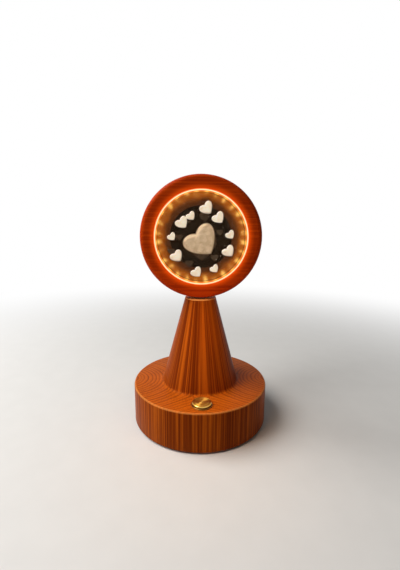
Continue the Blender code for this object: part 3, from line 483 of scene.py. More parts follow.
# Bottom cover, rubber feet and cover screws: a moulded black disc let into the underside and held
# by four zinc-plated screws with cross recesses, on four soft feet pressed into its seats.
foot_radius = 6.5 * mm
foot_round = 1.0 * mm
foot_land = 0.6 * foot_radius
dimple_radius = 0.5 * foot_radius
dimple_depth = 0.3 * mm
screw_head = 1.9 * mm
screw_head_depth = 0.9 * mm
screw_head_round = 0.6 * mm
screw_recess = 0.55 * mm
screw_slot = 0.45 * mm
screw_arm = 0.62 * screw_head
screw_taper = 1.2 * mm


def build_marks():
    """Small marks of use and making: broad smudges, a fine speckle and its relief."""
    tree, given, end = new_group(
        "surface_marks", [("Vector", "Vector"), ("Speck Size", "Float"), ("Smudge Size", "Float")],
        [("Speckle", "Float"), ("Smudge", "Float"), ("Height", "Float")])
    outputs = []
    for size, detail in (("Speck Size", 2.0), ("Smudge Size", 3.0)):
        per_metre = sum_up(tree, "DIVIDE", 1.0, given[size])
        grown = node(tree, "ShaderNodeVectorMath", {0: given["Vector"], "Scale": per_metre},
                     operation="SCALE").outputs[0]
        outputs.append(spread(tree, noise(tree, grown, detail), 0.3, 0.7))
    fill(end, {"Speckle": outputs[0], "Smudge": outputs[1],
               "Height": sum_up(tree, "MULTIPLY_ADD", outputs[1], 0.2, outputs[0])})
    return tree


marks = build_marks()


def worn(tree, place, speck, smudge):
    """The shared marks of use, with specks and smudges of the given sizes."""
    return node(tree, "ShaderNodeGroup", {"Vector": place, "Speck Size": speck,
                                          "Smudge Size": smudge}, node_tree=marks).outputs


def shared(tree, first, share, second):
    """Two masks as one, in which the first has the given share."""
    rest = sum_up(tree, "MULTIPLY", second, 1 - share)
    return sum_up(tree, "MULTIPLY_ADD", first, share, rest)


def marked(name, low, high, gloss, metal=0.0, speck=0.0004, smudge=0.012, relief=0.00002):
    """A finish with the shared marks: two shades, two roughness values and a fine relief."""
    made, tree, shader = new_material(name)
    place = own_place(tree)
    wear = worn(tree, place, speck, smudge)
    tone = shared(tree, wear["Speckle"], 0.4, wear["Smudge"])
    fill(shader, {"Base Color": mixed(tree, tone, low, high), "Metallic": metal,
                  "Roughness": spread(tree, wear["Smudge"], 0, 1, *gloss),
                  "Normal": bump(tree, wear["Height"], relief)})
    return made


black_plastic = marked("moulded_black_plastic", srgb(20, 20, 21), srgb(36, 35, 34), (0.42, 0.58),
                       relief=0.00003)
rubber = marked("black_rubber", srgb(18, 18, 18), srgb(38, 37, 35), (0.72, 0.88), speck=0.0009,
                relief=0.00005)
zinc = marked("zinc_plated_steel", srgb(168, 170, 176), srgb(206, 205, 198), (0.22, 0.42), 1.0,
              speck=0.0003, smudge=0.002, relief=0.000008)


def dress(node_name, finish):
    """Gives a CAD piece that keeps its shape its real finish."""
    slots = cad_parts[node_name].material_slots
    if not slots:
        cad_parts[node_name].data.materials.append(finish)
    for slot in slots:
        slot.material = finish


def screw_piece(name, face, direction, length):
    """Pan-head screw with a cross recess, its head's face at a place and looking in a direction."""
    tip = length - screw_taper
    outline = [(0, 0)]
    outline += arc((screw_head - screw_head_round, -screw_head_round), screw_head_round, 90, 0, 5)
    outline += [(screw_head, -screw_head_depth), (pilot_radius, -screw_head_depth),
                (pilot_radius, -tip), (0, -length)]
    piece = fit_piece(name.replace("screw", "cross_screw"), lathe(outline, 32), zinc,
                      "head" if name.startswith("back") else "base", "screw_steel", name)
    cut_away(piece, [box_between((-screw_arm, -screw_slot / 2, -screw_recess),
                                 (screw_arm, screw_slot / 2, screw_recess)),
                     box_between((-screw_slot / 2, -screw_arm, -screw_recess),
                                 (screw_slot / 2, screw_arm, screw_recess))])
    swing = Vector((0, 0, 1)).rotation_difference(direction).to_matrix().to_4x4()
    piece.data.transform(Matrix.Translation(face) @ swing)


dress("bottom_cover", black_plastic)
for number in range(1, 5):
    low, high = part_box(f"cover_screw_{number}")
    middle = (low + high) / 2
    screw_piece(f"cover_screw_{number}", Vector((middle.x, middle.y, low.z)), Vector((0, 0, -1)),
                high.z - low.z)
    low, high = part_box(f"foot_{number}")
    middle = (low + high) / 2
    outline = [(0, high.z), (foot_radius, high.z)]
    outline += arc((foot_radius - foot_round, foot_round), foot_round, 0, -90, 6)
    outline += [(foot_land, 0), (dimple_radius, dimple_depth), (0, dimple_depth)]
    foot = lathe(outline, 48)
    bmesh.ops.translate(foot, verts=foot.verts, vec=(middle.x, middle.y, 0))
    fit_piece(f"rubber_foot_{number}", foot, rubber, "base", "foot_rubber", f"foot_{number}")


# Charging socket and what is inside the base: a drawn steel shell in a black plate, the board that
# it is soldered to, the flat cell on its foam pad, and the sheathed leads to switch and light.
drawn_steel = marked("drawn_steel", srgb(178, 180, 184), srgb(214, 214, 212), (0.18, 0.34), 1.0,
                     speck=0.0002, smudge=0.003, relief=0.000005)
foil = marked("crinkled_foil", srgb(150, 152, 156), srgb(200, 202, 206), (0.26, 0.44), 0.8,
              speck=0.0025, smudge=0.014, relief=0.00012)
foam = marked("foam_tape", srgb(58, 58, 58), srgb(96, 96, 94), (0.85, 0.95), speck=0.0005,
              relief=0.00012)
sheath = marked("lead_sheath", srgb(24, 24, 25), srgb(42, 42, 42), (0.40, 0.52), speck=0.001)
solder_mask = marked("green_board", srgb(10, 70, 36), srgb(34, 118, 62), (0.30, 0.48),
                     speck=0.0011, smudge=0.005, relief=0.00004)
for name, finish in (("port_plate", black_plastic), ("usb_socket", drawn_steel),
                     ("circuit_board", solder_mask), ("board_screw_1", zinc),
                     ("board_screw_2", zinc), ("battery_cell", foil), ("battery_pad", foam),
                     ("battery_lead", sheath), ("button_lead", sheath), ("stem_lead", sheath),
                     ("button_switch", black_plastic), ("button_gasket", rubber)):
    dress(name, finish)


# Push-button: a turned brass barrel with a thin collar, held from inside by a ring nut, and a brass
# cap that slides in it on a steel spring. The cap's face is brushed in circles and its edge has a
# polished bevel.
collar_radius = 9.0 * mm
collar_bottom = base_top + running_gap
collar_top = collar_bottom + 0.6 * mm
collar_round = 0.3 * mm
barrel_end = collar_bottom - 16.8 * mm
barrel_bore = 6.7 * mm
skirt_radius = 6.4 * mm
ledge_top = collar_top - 10 * mm
ledge_bottom = ledge_top - 1.8 * mm
plunger_radius = 2.0 * mm
cap_radius = 8.3 * mm
cap_thickness = 1.0 * mm
cap_bevel = 0.4 * mm
cap_ease = (0.2 * mm, 0.03 * mm)
cap_corner = (0.05 * mm, 0.08 * mm)
skirt_depth = 2.0 * mm
button_steps = 96


def build_lathe_marks():
    """Fine circular tool marks round a centre line along Z, as turned or brushed metal has."""
    tree, given, end = new_group(
        "lathe_marks", [("Vector", "Vector"), ("Centre", "Vector"), ("Pitch", "Float")],
        [("Scratch", "Float"), ("Height", "Float")])
    offset = vector(tree, "SUBTRACT", given["Vector"], given["Centre"])
    reach = vector(tree, "LENGTH", vector(tree, "MULTIPLY", offset, (1, 1, 0)))
    rings = sum_up(tree, "DIVIDE", reach, given["Pitch"])
    fine = noise_along(tree, rings, 1.0, 2.0)
    coarse = noise_along(tree, rings, 0.13, 1.0)
    fill(end, {"Scratch": spread(tree, coarse, 0.3, 0.7), "Height": fine})
    return tree


lathe_marks = build_lathe_marks()


def turned_metal(name, centre, low, high, gloss, pitch, relief):
    """Turned metal: circular tool marks round a centre over the shared smudges."""
    made, tree, shader = new_material(name)
    place = own_place(tree)
    cuts = node(tree, "ShaderNodeGroup", {"Vector": place, "Centre": centre, "Pitch": pitch},
                node_tree=lathe_marks)
    wear = worn(tree, place, 0.0005, 0.004)
    tone = shared(tree, cuts.outputs["Scratch"], 0.6, wear["Smudge"])
    around_z = node(tree, "ShaderNodeTangent", direction_type="RADIAL", axis="Z").outputs[0]
    fill(shader, {"Base Color": mixed(tree, tone, low, high), "Metallic": 1.0,
                  "Roughness": spread(tree, tone, 0, 1, *gloss), "Anisotropic": 0.85,
                  "Anisotropic Rotation": 0.25, "Tangent": around_z,
                  "Normal": bump(tree, cuts.outputs["Height"], relief)})
    return made


button_centre = (0, -button_offset, base_top)
brushed_brass = turned_metal(
    "brushed_brass", button_centre, low=srgb(202, 144, 50), high=srgb(236, 186, 86),
    gloss=(0.36, 0.46), pitch=0.00016, relief=0.000003)
polished_brass = turned_metal(
    "polished_brass", button_centre, low=srgb(204, 160, 72), high=srgb(240, 204, 120),
    gloss=(0.12, 0.22), pitch=0.0003, relief=0.000004)
# The collar's brass is painted dark: painted shade under the cap's edge.
collar_brass_painted_shade = turned_metal(
    "collar_brass_painted_shade", button_centre, low=srgb(112, 72, 26), high=srgb(150, 104, 44),
    gloss=(0.34, 0.48), pitch=0.0003, relief=0.000004)
stem_brass = turned_metal(
    "stem_brass", (0, 0, stem_top), low=srgb(176, 136, 62), high=srgb(220, 182, 100),
    gloss=(0.24, 0.40), pitch=0.0004, relief=0.00001)

profile = [(skirt_radius + running_gap, collar_top)]
profile += arc((collar_radius - collar_round, collar_top - collar_round), collar_round, 90, 0, 5)
profile += [(collar_radius, collar_bottom), (barrel_radius, collar_bottom),
            (barrel_radius, barrel_end), (barrel_bore, barrel_end), (barrel_bore, ledge_bottom),
            (plunger_radius + running_gap, ledge_bottom),
            (plunger_radius + running_gap, ledge_top), (skirt_radius + running_gap, ledge_top)]
barrel = lathe(profile, button_steps, closed=True)
bmesh.ops.translate(barrel, verts=barrel.verts, vec=(*button_place, 0))
fit_piece("button_collar", barrel, collar_brass_painted_shade, "base", "button_brass", "button_barrel")

cap_low, cap_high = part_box("button_cap")
cap_top = cap_high.z
cap_bottom = cap_top - cap_thickness
skirt_bottom = cap_bottom - skirt_depth
profile = [(0, cap_top), (cap_radius - cap_bevel - cap_ease[0], cap_top),
           (cap_radius - cap_bevel, cap_top - cap_ease[1]),
           (cap_radius - cap_corner[0], cap_top - cap_bevel),
           (cap_radius, cap_top - cap_bevel - cap_corner[1]),
           (cap_radius, cap_bottom), (skirt_radius, cap_bottom),
           (skirt_radius, skirt_bottom), (plunger_radius, skirt_bottom),
           (plunger_radius, cap_low.z), (0, cap_low.z)]
cap = lathe(profile, button_steps)
bmesh.ops.translate(cap, verts=cap.verts, vec=(*button_place, 0))
cap_piece = fit_piece("button_face", cap, brushed_brass, "button", "button_brass", "button_cap")
cap_piece.data.materials.append(polished_brass)
for face in cap_piece.data.polygons:
    face.material_index = 0 if face.normal.z > 0.98 else 1
for name, finish in (("button_nut", stem_brass), ("button_clip", zinc)):
    dress(name, finish)

# The return spring stands on the barrel's ledge, with a mesh of its own.
coil = bmesh.new()
coil.from_mesh(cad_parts["button_spring"].data)
bmesh.ops.remove_doubles(coil, verts=coil.verts, dist=1e-6)
spring = fit_piece("return_spring", coil, zinc, "base", "screw_steel", "button_spring")
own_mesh(spring)


# Swivel: a flanged brass bush in the stem, a black nylon friction washer in the narrow gap under
# the head, and the hollow brass bolt that turns in the bush with its stop washer and locknut.
nylon = marked("friction_nylon", srgb(30, 27, 24), srgb(50, 45, 40), (0.48, 0.62))
for name, finish in (("stem_bush", stem_brass), ("neck_washer", nylon), ("stop_pin", zinc),
                     ("swivel_tube", stem_brass), ("stop_washer", zinc),
                     ("swivel_locknut", stem_brass)):
    dress(name, finish)


# Head ring: a second piece of wood, redder, turned on its own axis with the grain running across.
# A front lip holds the light line, whose glow on the wood beside it is painted light, an emission
# in the wood, and a groove behind the lip takes the strip of LEDs.
head_low, head_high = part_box("head_ring")
head_height = (head_low.z + head_high.z) / 2
head_radius = (head_high.x - head_low.x) / 2
half_depth = (head_high.y - head_low.y) / 2
front_round = 4.6 * mm
back_round = 3.4 * mm
lip_thickness = 4.0 * mm
lip_round = 0.9 * mm
lip_radius = 42.4 * mm
groove_radius = 45.4 * mm
back_cover_radius = 50 * mm
back_seat = -half_depth + 2.6 * mm
tube_hole = 5.3 * mm
flange_pocket = 7.9 * mm
pocket_depth = 2 * mm
spot_face = 10 * mm
spot_face_depth = 1 * mm
painted_spill_start = lip_radius - 0.5 * mm
painted_spill_end = lip_radius + 7 * mm
painted_spill_strength = 0.42
to_front = Matrix.Translation((0, 0, head_height)) @ Matrix.Rotation(pi / 2, 4, "X")

ring_wood, tree, shader, _ = wood(
    "ring_wood", pith=(0, 0.030, head_height - 0.115), turn=(0, pi / 2, 0), fibres=(1, 0, 0),
    pale=srgb(188, 63, 8), warm=srgb(162, 47, 5), dark=srgb(108, 27, 3),
    pith_spread=0, ring_width=0.0020, figure=0.004)

# Painted light: the light line's glow on the wood, an orange emission strongest at the lip and
# fading outwards.
place = own_place(tree)
offset = vector(tree, "SUBTRACT", place, (0, 0, head_height))
painted_spill_reach = vector(tree, "LENGTH", vector(tree, "MULTIPLY", offset, (1, 0, 1)))
painted_spill = sum_up(tree, "POWER", spread(tree, painted_spill_reach, painted_spill_start, painted_spill_end, 1.0, 0.0), 2.0)
fill(shader, {"Emission Color": mixed(tree, painted_spill, (0, 0, 0, 1), srgb(255, 84, 8)),
              "Emission Strength": painted_spill_strength})


def drill_forward(radius, low, high, place, steps):
    """A round cutter that runs from back to front, with its ends counted along Y from a place."""
    hole = drill(radius, low, high, (0, 0), steps)
    bmesh.ops.transform(hole, verts=hole.verts,
                        matrix=Matrix.Translation(place) @ Matrix.Rotation(-pi / 2, 4, "X"))
    return hole


def facing(profile, steps, closed=False):
    """A profile turned about the head's own axis, with its heights towards the front."""
    bm = lathe(profile, steps, closed)
    bmesh.ops.transform(bm, matrix=to_front, verts=bm.verts)
    return bm


profile = arc((head_radius - front_round, half_depth - front_round), front_round, 90, 0, 12)
profile += arc((head_radius - back_round, -half_depth + back_round), back_round, 0, -90, 10)
profile += [(back_cover_radius + running_gap, -half_depth),
            (back_cover_radius + running_gap, back_seat), (groove_radius, back_seat),
            (groove_radius, half_depth - lip_thickness), (lip_radius, half_depth - lip_thickness)]
profile += arc((lip_radius + lip_round, half_depth - lip_round), lip_round, 180, 90, 6)
ring = fit_piece("turned_head_ring", facing(profile, wood_steps, closed=True), ring_wood, "head",
                 "ring_wood", "head_ring")
pocket_floor = head_height - groove_radius - pocket_depth
cutters = [drill(tube_hole, head_low.z - overrun, pocket_floor + overrun, (0, 0)),
           drill(flange_pocket, pocket_floor, pocket_floor + pocket_depth + overrun, (0, 0)),
           drill(spot_face, head_low.z - overrun, head_low.z + spot_face_depth, (0, 0), 96)]
back_screws = [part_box(f"back_screw_{number}") for number in range(1, 5)]
for low, high in back_screws:
    middle = (low + high) / 2
    cutters.append(drill_forward(pilot_radius + running_gap, low.y - running_gap,
                                 high.y + overrun, (middle.x, 0, middle.z), 16))
cut_away(ring, cutters)


# Back cover: a moulded black disc with a soft edge, let into the back of the ring and held by four
# small zinc-plated screws, whose heads sit in shallow recesses.
cover_inset = 0.3 * mm
cover_thickness = 2 * mm
cover_edge = 0.4 * mm
head_recess = 1.2 * mm
disc_steps = 128
cover_outer = -half_depth + cover_inset
cover_inner = cover_outer + cover_thickness
profile = [(0, cover_inner), (back_cover_radius, cover_inner)]
profile += arc((back_cover_radius - cover_edge, cover_outer + cover_edge), cover_edge, 0, -90, 4)
profile += [(0, cover_outer)]
back = fit_piece("back_disc", facing(profile, disc_steps), black_plastic, "head",
                 "black_plastic", "back_cover")
cutters = []
for number, (low, high) in enumerate(back_screws, 1):
    middle = (low + high) / 2
    for radius, depth in ((pilot_radius, cover_thickness + 1 * mm), (screw_head, head_recess)):
        cutters.append(drill_forward(radius + running_gap, -depth, overrun,
                                     (middle.x, -cover_outer, middle.z), 32))
    screw_piece(f"back_screw_{number}", Vector((middle.x, high.y, middle.z)), Vector((0, 1, 0)),
                high.y - low.y)
cut_away(back, cutters)


# Light line: a frosted ring round the crystal's edge, with the strip of LEDs behind it in the
# ring's groove. The LEDs light it up in beads, and its narrow front edge shows as a thin line.
led_count = 28
crystal_radius = 40 * mm
crystal_front = half_depth - 1.9 * mm
crystal_back = crystal_front - 15.8 * mm
diffuser_inner = crystal_radius + running_gap
diffuser_outer = diffuser_inner + 1.8 * mm
diffuser_front = half_depth - 0.3 * mm
diffuser_lip = 1.0 * mm
inner_round = 0.2 * mm
outer_round = 0.3 * mm


def build_beads():
    """Where a point lies round the head: how far out it is, and how near to an LED's angle."""
    tree, given, end = new_group("led_beads", [("Vector", "Vector"), ("Count", "Float")],
                                 [("Reach", "Float"), ("Bead", "Float"), ("Depth", "Float")])
    offset = vector(tree, "SUBTRACT", given["Vector"], (0, 0, head_height))
    parts = node(tree, "ShaderNodeSeparateXYZ", {0: offset}).outputs
    reach = vector(tree, "LENGTH", vector(tree, "MULTIPLY", offset, (1, 0, 1)))
    angle = sum_up(tree, "ARCTAN2", parts["Z"], parts["X"])
    wave = sum_up(tree, "COSINE", sum_up(tree, "MULTIPLY_ADD", angle, given["Count"], pi))
    fill(end, {"Reach": reach, "Bead": sum_up(tree, "MULTIPLY_ADD", wave, 0.5, 0.5),
               "Depth": sum_up(tree, "ADD", parts["Y"], half_depth)})
    return tree


beads = build_beads()


def lit_material(name, base, roughness, metal, strength):
    """A lit or light-catching piece: gives its nodes, its place among the LEDs and its marks."""
    made, tree, shader = new_material(name)
    place = own_place(tree)
    where = node(tree, "ShaderNodeGroup", {"Vector": place, "Count": float(led_count)},
                 node_tree=beads).outputs
    wear = worn(tree, place, 0.0012, 0.009)
    shade = [part * 0.82 for part in base[:3]] + [1]
    fill(shader, {"Base Color": mixed(tree, wear["Speckle"], base, shade), "Metallic": metal,
                  "Roughness": spread(tree, wear["Smudge"], 0, 1, roughness, roughness + 0.14),
                  "Emission Strength": strength, "Normal": bump(tree, wear["Height"], 0.00003)})
    return made, tree, shader, where, wear


line_radius = 41.1 * mm
line_fade = (0.1 * mm, 0.8 * mm)
front_fade = (0.9 * mm, 1.6 * mm)
inner_fade = (40.3 * mm, 40.8 * mm)
light_line, tree, shader, where, _ = lit_material("warm_light_line", srgb(150, 82, 32),
                                                  roughness=0.50, metal=0.0, strength=1.15)
off_line = sum_up(tree, "ABSOLUTE", sum_up(tree, "SUBTRACT", where["Reach"], line_radius))
line = spread(tree, off_line, *line_fade, 1.0, 0.0)
on_front = spread(tree, where["Depth"], *front_fade, 1.0, 0.0)
bead = sum_up(tree, "POWER", where["Bead"], 2.0)
behind = mixed(tree, bead, srgb(196, 104, 26), srgb(255, 200, 110))
within = spread(tree, where["Reach"], *inner_fade, 1.0, 0.0)
beaded = mixed(tree, bead, srgb(190, 94, 16), srgb(250, 176, 72))
halo = mixed(tree, within, srgb(214, 92, 14), beaded)
front = mixed(tree, line, halo, srgb(255, 232, 184))
fill(shader, {"Emission Color": mixed(tree, on_front, behind, front),
              "Specular IOR Level": 0.2})

profile = arc((diffuser_inner - diffuser_lip + inner_round, diffuser_front - inner_round),
              inner_round, 180, 90, 3)
profile += arc((diffuser_outer - outer_round, diffuser_front - outer_round), outer_round, 90, 0, 3)
profile += [(diffuser_outer, crystal_back), (diffuser_inner, crystal_back),
            (diffuser_inner, diffuser_front - diffuser_lip),
            (diffuser_inner - diffuser_lip, diffuser_front - diffuser_lip)]
light_ring = fit_piece("light_line_ring", facing(profile, wood_steps, closed=True), light_line,
                       "head", "light_diffuser", "diffuser_ring")

chip_fade = (43.7 * mm, 44.5 * mm)
strip_glow, tree, shader, where, _ = lit_material("led_strip", srgb(236, 228, 206),
                                                  roughness=0.40, metal=0.0, strength=1.0)
chips = spread(tree, where["Reach"], *chip_fade, 1.0, 0.0)
fill(shader, {"Emission Color": mixed(tree, chips, srgb(96, 70, 36), srgb(255, 214, 140))})
dress("led_strip", strip_glow)


# Behind the crystal: a dished amber reflector of metallised plastic that spreads the LEDs' light,
# round a glossy black plastic disc that makes the hearts stand out. The light on the reflector is
# painted on it as emission: a dim glow that grows outwards and bright spots by the LEDs.
reflector_inner = 28.5 * mm
reflector_foot = 31.0 * mm
sheet = 0.8 * mm
backing_thickness = 1 * mm
unevenness = 3 * mm
painted_glow_reach = (30.8 * mm, 38.5 * mm)
painted_spot_reach = (35.0 * mm, 41.0 * mm)
dish_steps = 8
dish_bend = 1.5
amber, tree, shader, where, wear = lit_material("amber_reflector", srgb(96, 50, 16),
                                                roughness=0.34, metal=0.5, strength=1.0)
# Painted light: the reflector's glow and its bright spots by the LEDs, made uneven by the smudges.
uneven = sum_up(tree, "MULTIPLY", sum_up(tree, "SUBTRACT", wear["Smudge"], 0.5), unevenness)
outwards = sum_up(tree, "ADD", where["Reach"], uneven)
painted_glow = mixed(tree, spread(tree, outwards, *painted_glow_reach), srgb(14, 6, 1), srgb(158, 78, 12))
painted_spots = sum_up(tree, "MULTIPLY", sum_up(tree, "POWER", where["Bead"], 1.6),
              spread(tree, outwards, *painted_spot_reach))
painted_spots = sum_up(tree, "MULTIPLY", painted_spots, spread(tree, wear["Smudge"], 0.2, 0.8, 0.25, 1.0))
fill(shader, {"Emission Color": mixed(tree, painted_spots, painted_glow, srgb(255, 196, 92)),
              "Specular IOR Level": 0.1})
foot_low = back_seat + backing_thickness + running_gap
rim_high = crystal_back - running_gap
dish = []
for step in range(dish_steps + 1):
    outward = step / dish_steps
    dish.append((reflector_foot + (diffuser_outer - reflector_foot) * outward,
                 foot_low + (rim_high - sheet - foot_low) * outward ** dish_bend))
profile = [(reflector_inner, foot_low + sheet)]
profile += [(radius, height + sheet) for radius, height in dish]
profile += dish[::-1] + [(reflector_inner, foot_low)]
fit_piece("amber_dish", facing(profile, disc_steps, closed=True), amber, "head",
          "amber_reflector", "reflector_ring")
gloss_black = marked("glossy_black_disc", srgb(22, 13, 7), srgb(38, 24, 13), (0.10, 0.20),
                     speck=0.0008, relief=0.000004)
# Its reflections are tinted orange: painted warm light in its reflections.
fill(gloss_black.node_tree.nodes["Principled BSDF"],
     {"Specular IOR Level": 0.1, "Specular Tint": (1, 0.5, 0.2, 1)})
dress("backing_disc", gloss_black)


# Crystal: a thick disc of clear optical glass with a slightly domed, polished front and polished
# chamfers. Its edge takes in the light, and tiny laser-cracked hearts inside catch it.
crystal_dome = 1.4 * mm
crystal_chamfer = 0.5 * mm
back_chamfer = 0.2 * mm


def clear_glass():
    """Clear optical glass, very slightly uneven in its polish."""
    made, tree, shader = new_material("clear_crystal")
    place = own_place(tree)
    wear = worn(tree, place, 0.0015, 0.015)
    clear = mixed(tree, wear["Smudge"], srgb(252, 251, 249), srgb(255, 255, 253))
    fill(shader, {"Base Color": clear, "Transmission Weight": 1.0, "IOR": 1.50,
                  "Roughness": spread(tree, wear["Smudge"], 0, 1, 0.0, 0.018),
                  "Specular Tint": (0.10, 0.09, 0.07, 1)})
    return made


edge = crystal_radius - crystal_chamfer
dome_radius = (edge * edge + crystal_dome * crystal_dome) / (2 * crystal_dome)
dome_centre = crystal_front + crystal_dome - dome_radius
rise = degrees(acos(edge / dome_radius))
profile = arc((0, dome_centre), dome_radius, 90, rise, 16)
profile[0] = (0, crystal_front + crystal_dome)
profile += [(crystal_radius, crystal_front - crystal_chamfer),
            (crystal_radius, crystal_back + back_chamfer),
            (crystal_radius - back_chamfer, crystal_back), (0, crystal_back)]
fit_piece("clear_crystal", facing(profile, disc_steps), clear_glass(), "head", "crystal_glass",
          "crystal")


# Hearts inside the crystal: a large plain one among ten small ones, each a cloud of tiny laser
# cracks, a little pillowed, leaning to the right, with a few bright specks between them that are
# painted glints. Deeper in the glass lie fainter, upright ones that are painted reflections of the
# hearts in the crystal's back face. The numbers are millimetres across, up and wide.
large_heart = (-2.0, -1.2, 28.9)
hearts = [(3.8, 26.5, 11.6), (14.4, 18.1, 10.6), (-9.9, 19.3, 8.0), (-18.0, 13.7, 10.9),
          (-26.9, 1.1, 7.3), (25.4, 3.1, 8.0), (24.0, -11.5, 10.8), (-22.8, -16.0, 11.0),
          (-4.8, -30.7, 9.8), (11.7, -27.6, 7.7)]
painted_glints = [(6.6, 18.4, 0.5), (-4.1, 18.8, 0.3), (19.6, 9.0, 0.5), (23.2, 10.1, 0.3),
          (28.0, 10.7, 0.3), (17.6, -16.4, 0.5), (14.0, -19.6, 0.6), (-15.5, -17.0, 0.3),
          (-15.2, 29.4, 0.4), (21.2, -7.2, 0.5), (-4.5, 12.6, 0.3), (20.9, 3.4, 0.4)]
painted_heart_reflections = [(0.3, -9.3, 28.0), (-10.7, -24.0, 7.4), (12.2, -18.5, 7.2), (-19.9, -0.2, 6.8),
                (3.0, 18.0, 9.0), (-27.0, -13.0, 6.8), (17.0, 4.4, 6.2), (-10.8, 13.6, 3.4)]
heart_depth = 4.0 * mm
heart_swell = 0.12
heart_lean = 38
faint_depth = -2.3 * mm
faint_swell = 0.05
faint_lean = 4
heart_steps = 48
brightest_side = (-0.32, -0.84, 0.44)


def heart_outline(lean):
    """A plump heart one unit across, leaning to the right by a number of degrees."""
    points = []
    for index in range(heart_steps):
        turn = 2 * pi * (index + 0.5) / heart_steps
        across = 16 * sin(turn) * abs(sin(turn)) ** (0.95 + 0.25 * cos(turn))
        up = 13 * cos(turn) - 3.8 * cos(2 * turn) - 1.3 * cos(3 * turn) - 0.5 * cos(4 * turn)
        points.append(Vector((across, up)) @ Matrix.Rotation(radians(-lean), 2))
    sides = [(min(place), max(place)) for place in zip(*points)]
    size = max(high - low for low, high in sides)
    return [tuple((value - (low + high) / 2) / size for value, (low, high) in zip(point, sides))
            for point in points]


def add_heart(bm, across, up, size, depth=heart_depth, plump=heart_swell, lean=heart_lean):
    """A pillowed heart, grown in steps from its small back face to its small front face."""
    across, up, size = across * mm, up * mm, size * mm
    swell = plump * size
    steps = [-75, -50, -25, 0, 25, 50, 75]
    first = cos(radians(steps[0])) ** 0.5
    face = bm.faces.new([bm.verts.new((x * first, y * first, swell * sin(radians(steps[0]))))
                         for x, y in heart_outline(lean)])
    verts = list(face.verts)
    for before, after in zip(steps, steps[1:]):
        grown = bmesh.ops.extrude_face_region(bm, geom=[face])["geom"]
        ring_verts = [item for item in grown if isinstance(item, bmesh.types.BMVert)]
        face = [item for item in grown if isinstance(item, bmesh.types.BMFace)][0]
        growth = (cos(radians(after)) / cos(radians(before))) ** 0.5
        bmesh.ops.scale(bm, verts=ring_verts, vec=(growth, growth, 1))
        bmesh.ops.translate(bm, verts=ring_verts,
                            vec=(0, 0, swell * (sin(radians(after)) - sin(radians(before)))))
        verts += ring_verts
    place = to_front @ Matrix.Translation((across, up, depth)) @ Matrix.Diagonal((size, size, 1, 1))
    bmesh.ops.transform(bm, matrix=place, verts=verts)


def laser_cracks(name, low, high, strength):
    """A cloud of tiny cracks whose light is painted: it glows as emission, with painted shading
    that is brightest on one side and dark at its edges.
    """
    made, tree, shader = new_material(name)
    texture = node(tree, "ShaderNodeTexCoord").outputs
    wear = worn(tree, texture["Object"], 0.0005, 0.004)
    tone = shared(tree, wear["Speckle"], 0.5, wear["Smudge"])
    # Painted light and shade: brighter where a face turns to one fixed side, darker at the edges.
    lit = node(tree, "ShaderNodeVectorMath", {0: texture["Normal"], 1: brightest_side},
               operation="DOT_PRODUCT").outputs["Value"]
    edge = [part * 0.34 for part in low[:3]] + [1]
    painted_brim_highlight = [part * 1.35 for part in high[:3]] + [1]
    cloud = mixed(tree, spread(tree, lit, 0.88, 0.97), mixed(tree, tone, low, high), painted_brim_highlight)
    cloud = mixed(tree, spread(tree, lit, 0.10, 0.80), edge, cloud)
    fill(shader, {"Base Color": cloud, "Emission Color": cloud, "Emission Strength": strength,
                  "Specular IOR Level": 0.1,
                  "Roughness": spread(tree, wear["Speckle"], 0, 1, 0.6, 0.9),
                  "Normal": bump(tree, wear["Height"], 0.00008)})
    return made


def engrave(name, bm, finish):
    """Puts finished hearts inside the crystal."""
    bmesh.ops.recalc_face_normals(bm, faces=bm.faces)
    fit_piece(name, bm, finish, "head", "crystal_glass")


bm = bmesh.new()
add_heart(bm, *large_heart)
engrave("large_plain_heart", bm,
        laser_cracks("large_heart_cracks", srgb(166, 140, 106), srgb(206, 186, 156), 0.40))
# Painted reflections: dim hearts standing in for the hearts' reflections in the crystal's back
# face.
bm = bmesh.new()
for heart in painted_heart_reflections:
    add_heart(bm, *heart, faint_depth, faint_swell, faint_lean)
engrave("painted_heart_reflections", bm,
        laser_cracks("painted_reflection_cracks", srgb(58, 45, 32), srgb(92, 76, 58), 0.12))
bm = bmesh.new()
for heart in hearts:
    add_heart(bm, *heart)
# Painted glints: tiny glowing specks among the hearts.
for across, up, size in painted_glints:
    bmesh.ops.create_icosphere(bm, subdivisions=1, radius=size / 2 * mm,
                               matrix=to_front @ Matrix.Translation((across * mm, up * mm,
                                                                     heart_depth)))
engrave("engraved_hearts", bm,
        laser_cracks("laser_cracks", srgb(204, 192, 168), srgb(236, 228, 210), 0.50))


# Floor, daylight and lamps: a pale table that fades to white, one large soft lamp high on the
# left, a weak one lower on the left, and a small warm one in front of the crystal for the light
# that it throws on the stem and the base.
floor_radius = 3.0
fade_reach = (0.18, 0.75)
sky_strength = 0.095


def seen_directly(tree):
    """1 where the picture, a reflection or the glass shows the place, and 0 for its own light."""
    path = node(tree, "ShaderNodeLightPath").outputs
    return sum_up(tree, "MAXIMUM", path["Is Camera Ray"],
                  sum_up(tree, "MAXIMUM", path["Is Glossy Ray"], path["Is Transmission Ray"]))


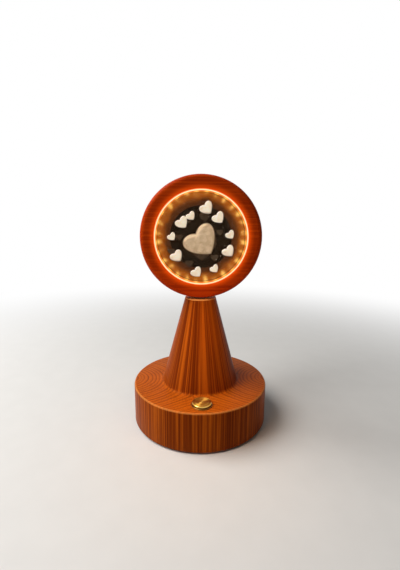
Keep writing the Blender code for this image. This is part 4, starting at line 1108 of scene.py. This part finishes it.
def make_floor():
    """A pale round table top, shaded near the light and plain white far from it."""
    bm = bmesh.new()
    bmesh.ops.create_circle(bm, cap_ends=True, segments=96, radius=floor_radius)
    mesh = bpy.data.meshes.new("floor")
    bm.to_mesh(mesh)
    bm.free()
    made, tree, shader = new_material("floor")
    place = own_place(tree)
    speck = noise(tree, scaled(tree, place, 0.02, 0.02, 0.02), 3)
    pale = mixed(tree, speck, srgb(203, 201, 197), srgb(209, 207, 203))
    fill(shader, {"Base Color": pale, "Roughness": 0.65})
    white = node(tree, "ShaderNodeEmission", {"Color": (1, 1, 1, 1), "Strength": 1.0})
    far = spread(tree, vector(tree, "LENGTH", place), *fade_reach)
    whitened = sum_up(tree, "MULTIPLY", seen_directly(tree), far)
    fade = node(tree, "ShaderNodeMixShader", {0: whitened, 1: shader.outputs[0],
                                              2: white.outputs[0]})
    fill(tree.nodes["Material Output"], {"Surface": fade.outputs[0]})
    mesh.materials.append(made)
    floor = bpy.data.objects.new("floor", mesh)
    scene.collection.objects.link(floor)


def make_world():
    """A soft pale sky that shows as plain white."""
    world = bpy.data.worlds.new("world")
    world.use_nodes = True
    scene.world = world
    tree = world.node_tree
    light = tree.nodes["Background"]
    fill(light, {"Color": srgb(255, 252, 248), "Strength": sky_strength})
    white = node(tree, "ShaderNodeBackground", {"Color": (1, 1, 1, 1), "Strength": 1.0})
    choice = node(tree, "ShaderNodeMixShader", {0: seen_directly(tree), 1: light.outputs[0],
                                                2: white.outputs[0]})
    fill(tree.nodes["World Output"], {"Surface": choice.outputs[0]})


def lamp(name, place, aim, size, power, colour=(1, 1, 1)):
    """A soft rectangular lamp at a place, aimed at another."""
    made = bpy.data.lights.new(name, "AREA")
    made.shape = "RECTANGLE"
    made.size, made.size_y = size
    made.energy = power
    made.color = colour
    holder = bpy.data.objects.new(name, made)
    holder.location = place
    holder.rotation_euler = (Vector(aim) - Vector(place)).to_track_quat("-Z", "Y").to_euler()
    scene.collection.objects.link(holder)
    return holder


make_floor()
make_world()
lamp("overhead", place=(-0.62, -0.06, 0.86), aim=(0, 0, 0.08), size=(0.8, 0.7), power=14.8)
lamp("left", place=(-0.85, -0.55, 0.55), aim=(0, 0, 0.10), size=(0.5, 0.7), power=0.9)
glow = lamp("crystal_glow", place=(0, -0.080, 0.130), aim=(0, -0.040, 0.045), size=(0.06, 0.02),
            power=0.035, colour=(1.0, 0.50, 0.16))
glow.parent = light_ring
glow.visible_camera = False
glow.visible_glossy = False
glow.visible_transmission = False

scene.view_settings.view_transform = "Standard"
